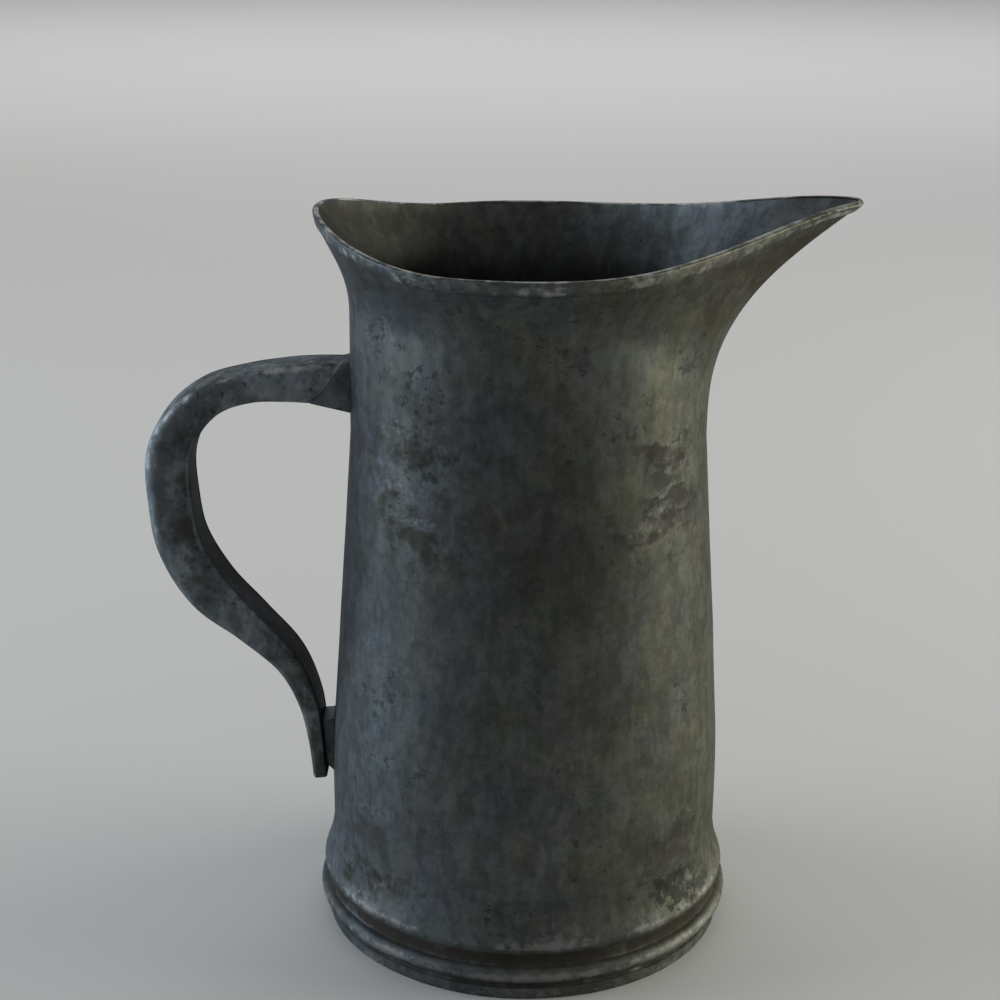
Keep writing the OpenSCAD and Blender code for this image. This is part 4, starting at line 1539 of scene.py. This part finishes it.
# Soft lights: the cool and the warm one beside the jug look at it, and the plain one lights the floor behind
Lamp = namedtuple("Lamp", "name place size colour spread target")
JUG_MIDDLE = Vector((0.0, 0.0, 0.12))
FLOOR_BEHIND = Vector((0.0, 2.8, 0.0))
LAMPS = (
    Lamp("Left_light", (-1.6, 0.13, 0.33), (1.3, 0.6), (0.8, 0.92, 1.0), radians(90), JUG_MIDDLE),
    Lamp("Right_light", (1.58, 0.23, 0.33), (1.45, 0.6), (1.0, 0.97, 0.84), radians(90), JUG_MIDDLE),
    Lamp("Back_light", (0.0, 2.6, 2.0), (4.0, 2.0), (1.0, 1.0, 1.0), radians(180), FLOOR_BEHIND),
)


def soft_light(lamp, power):
    """Rectangular soft light that looks at its target and fans out over its spread."""
    light = bpy.data.lights.new(lamp.name, "AREA")
    light.shape = "RECTANGLE"
    light.size, light.size_y = lamp.size
    light.energy = power
    light.color = lamp.colour
    light.spread = lamp.spread
    holder = bpy.data.objects.new(lamp.name, light)
    holder.location = lamp.place
    holder.rotation_euler = (lamp.target - Vector(lamp.place)).to_track_quat("-Z", "Y").to_euler()
    holder.visible_camera = False
    bpy.context.scene.collection.objects.link(holder)


def make_camera(scene, stage):
    """Camera at the photograph's viewing angle."""
    place = (-8.65 * MM, -577 * MM, 332.5 * MM)
    pitch, roll = radians(71.41), radians(0.501)
    lens = bpy.data.cameras.new("Camera")
    lens.lens = stage.lens
    lens.sensor_width = 36.0
    camera = bpy.data.objects.new("Camera", lens)
    turn = Matrix.Rotation(pitch, 4, "X") @ Matrix.Rotation(roll, 4, "Z")
    camera.matrix_world = Matrix.Translation(place) @ turn
    scene.collection.objects.link(camera)
    scene.camera = camera


# Operators

class JUG_OT_barrel(bpy.types.Operator):
    """Make the tapered barrel"""

    bl_idname = "jug.barrel"
    bl_label = "Barrel"

    def execute(self, context):
        wall = context.scene.jug_wall
        finish = context.scene.jug_finish
        metal = wall_material(finish)
        barrel = turned("Barrel", barrel_profile(wall), wall.unevenness, metal, inside_material(finish))
        settle(barrel, "barrel")
        return {"FINISHED"}


class JUG_OT_lip(bpy.types.Operator):
    """Make the lip collar with its spout, the skirt below it and the band round its rim"""

    bl_idname = "jug.lip"
    bl_label = "Lip and rim"

    def execute(self, context):
        wall = context.scene.jug_wall
        lip = context.scene.jug_lip
        finish = context.scene.jug_finish
        inner = inside_material(finish)
        laws = lip_values(context.scene)
        metal = wall_material(finish)
        values = {"Rows": LIP_ROWS, "Edge": LIP_EDGE, "Unevenness": wall.unevenness, "Metal": metal}
        line = rim_line("Lip_collar", wall, lip)
        collar = grow(line, bpy.data.node_groups["Flared lip"], {**laws, **values})
        collar.data.materials.append(inner)
        sheet = collar.modifiers.new("Sheet", "SOLIDIFY")
        sheet.thickness = wall.sheet
        sheet.offset = -1.0
        sheet.use_even_offset = True
        sheet.material_offset = 1
        settle(bake(collar), "lip_collar")

        skirt = turned("Collar_skirt", skirt_profile(wall, lip), wall.unevenness, metal, inner)
        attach(skirt, BODY)

        rim_ageing = Ageing(finish.rim, cloud=1.3, streak=0.3, rubbed=2.3, grain=260.0)
        rim_metal = metal_material("Rim metal", finish, rim_ageing)
        band_values = {**laws, "Unevenness": wall.unevenness, "Metal": rim_metal}
        line = rim_line("Rim_band", wall, lip)
        band = swept("Rim_band", line, band_section(wall, lip), band_values, "Rim band")
        settle(band, "rim_band")
        return {"FINISHED"}


class JUG_OT_foot(bpy.types.Operator):
    """Make the moulded foot ring"""

    bl_idname = "jug.foot"
    bl_label = "Foot ring"

    def execute(self, context):
        wall = context.scene.jug_wall
        finish = context.scene.jug_finish
        # The foot's brightness is partly painted light, as pale as the wall's painted light just above it
        ageing = Ageing(shade=1.2, streak=0.6, pit=1.2, dull=0.1, grain=400.0)
        metal = metal_material("Foot metal", finish, ageing, FOOT_STAINS, FOOT_PITS)
        foot = turned("Foot_ring", foot_profile(wall, context.scene.jug_foot), wall.unevenness, metal)
        settle(foot, "foot_ring")
        return {"FINISHED"}


class JUG_OT_base(bpy.types.Operator):
    """Make the base plate and the solder that holds it"""

    bl_idname = "jug.base"
    bl_label = "Base"

    def execute(self, context):
        wall = context.scene.jug_wall
        finish = context.scene.jug_finish
        # The plate is made pale, painted light for the deep inside that the lamps hardly reach
        plate = metal_material("Base metal", finish, Ageing(shade=1.9, cloud=1.2, streak=0.0, pit=1.2))
        settle(turned("Base_plate", base_profile(wall), 0.0, plate), "base_plate")
        solder = metal_material("Solder", finish, Ageing(finish.solder, streak=0.0, pit=0.6))
        fillet = turned("Base_solder", solder_profile(wall), wall.unevenness, solder)
        settle(fillet, "base_solder")
        return {"FINISHED"}


class JUG_OT_handle(bpy.types.Operator):
    """Make the hollow handle, the strap that closes it and the plate on its lower end"""

    bl_idname = "jug.handle"
    bl_label = "Handle"

    def execute(self, context):
        handle = context.scene.jug_handle
        finish = context.scene.jug_finish
        line = HandleLine(context.scene.jug_wall, handle)
        # The handle's brightness is painted light, and its height term is painted shade that darkens its
        # lower part
        ageing = Ageing(
            finish.handle, cloud=2.0, streak=0.2, pit=0.8, dull=0.1, rubbed=2.5, grain=230.0, lift=-0.5
        )
        metal = metal_material("Handle metal", finish, ageing)
        strap_metal = metal_material("Strap metal", finish, Ageing(finish.strap, streak=0.3))
        beaten = {"Unevenness": handle.unevenness, "Metal": metal}
        whole = line.host("Handle_gutter")
        gutter = swept("Handle_gutter", whole, gutter_section(handle), beaten, "Handle run")
        settle(gutter, "handle_gutter")
        flat = {"Unevenness": 0.0, "Metal": strap_metal}
        strap = swept("Handle_strap", line.host("Handle_strap"), strap_section(handle), flat, "Handle run")
        settle(strap, "handle_strap")

        closing = line.tail_host("Tail_plate", handle.tail)
        plain = {"Unevenness": 0.0, "Metal": metal}
        tail = swept("Tail_plate", closing, outer_points(handle), plain, "Handle run")
        settle(rounded(tail, width=0.3 * MM, segments=2), "tail_plate")
        return {"FINISHED"}


class JUG_OT_brackets(bpy.types.Operator):
    """Make the bracket and the strut that hold the handle to the jug"""

    bl_idname = "jug.brackets"
    bl_label = "Bracket and strut"

    def execute(self, context):
        wall = context.scene.jug_wall
        handle = context.scene.jug_handle
        finish = context.scene.jug_finish
        line = HandleLine(wall, handle)
        metal = metal_material("Bracket metal", finish, Ageing(finish.bracket, streak=0.2))

        def on_wall(corner, y):
            x, z = corner
            if x < 0:
                return (x, y, z)
            sunk = wall_radius(wall, z) - SOLDER_SINK
            return (-sqrt(sunk ** 2 - y ** 2), y, z)

        def crowned(corner, y):
            """Seat whose top falls away to both sides, as the handle's back does."""
            x, z = corner
            above = max(0.0, z - handle.top) / handle.bracket_above
            fall = handle.crown * above * abs(2 * y / handle.strap_width) ** 3
            return on_wall((x, z - fall), y)

        outline = bracket_outline(line, handle)
        bracket = plate_piece("Upper_bracket", outline, handle.strap_width, crowned, metal, edge=0.8 * MM)
        settle(bracket, "upper_bracket")
        outline = strut_outline(line, handle)
        strut = plate_piece("Lower_strut", outline, handle.strut_width, on_wall, metal, edge=0.5 * MM)
        settle(strut, "lower_strut")
        return {"FINISHED"}


class JUG_OT_stage(bpy.types.Operator):
    """Set the floor, the lights, the far background and the camera"""

    bl_idname = "jug.stage"
    bl_label = "Stage"

    def execute(self, context):
        stage = context.scene.jug_stage
        make_floor(stage)
        make_world(context.scene, stage)
        powers = (stage.left_power, stage.right_power, stage.back_power)
        for lamp, power in zip(LAMPS, powers):
            soft_light(lamp, power)
        make_camera(context.scene, stage)
        context.scene.view_settings.view_transform = "Standard"
        return {"FINISHED"}


PIECE_OPERATORS = (
    JUG_OT_barrel,
    JUG_OT_lip,
    JUG_OT_foot,
    JUG_OT_base,
    JUG_OT_handle,
    JUG_OT_brackets,
    JUG_OT_stage,
)
SETTINGS = {
    "jug_wall": JugWallSizes,
    "jug_lip": JugLipSizes,
    "jug_foot": JugFootSizes,
    "jug_handle": JugHandleSizes,
    "jug_finish": JugFinish,
    "jug_stage": JugStage,
}


class JUG_PT_pieces(bpy.types.Panel):
    """Lists the jug's pieces and their sizes"""

    bl_label = "Lipped jug"
    bl_space_type = "VIEW_3D"
    bl_region_type = "UI"
    bl_category = "Jug"

    def draw(self, context):
        for operator in PIECE_OPERATORS:
            self.layout.operator(operator.bl_idname)
        for name, kind in SETTINGS.items():
            box = self.layout.box()
            box.label(text=kind.__doc__)
            for key in kind.__annotations__:
                box.prop(getattr(context.scene, name), key)


def register():
    for kind in (*SETTINGS.values(), *PIECE_OPERATORS, JUG_PT_pieces):
        bpy.utils.register_class(kind)
    for name, kind in SETTINGS.items():
        setattr(bpy.types.Scene, name, PointerProperty(type=kind))


def unregister():
    for name in SETTINGS:
        delattr(bpy.types.Scene, name)
    for kind in reversed((*SETTINGS.values(), *PIECE_OPERATORS, JUG_PT_pieces)):
        bpy.utils.unregister_class(kind)


def build_groups():
    """Makes the shared node groups and trees once."""
    crowd_spot_group()
    torn_stain_group()
    broken_mask_group()
    aged_metal_group()
    turned_tree()
    lip_point_group()
    lip_tree()
    rim_tree()
    handle_tree()


def main():
    register()
    build_groups()
    bpy.ops.jug.barrel()
    bpy.ops.jug.lip()
    bpy.ops.jug.foot()
    bpy.ops.jug.base()
    bpy.ops.jug.handle()
    bpy.ops.jug.brackets()
    bpy.ops.jug.stage()


if __name__ == "__main__":
    main()
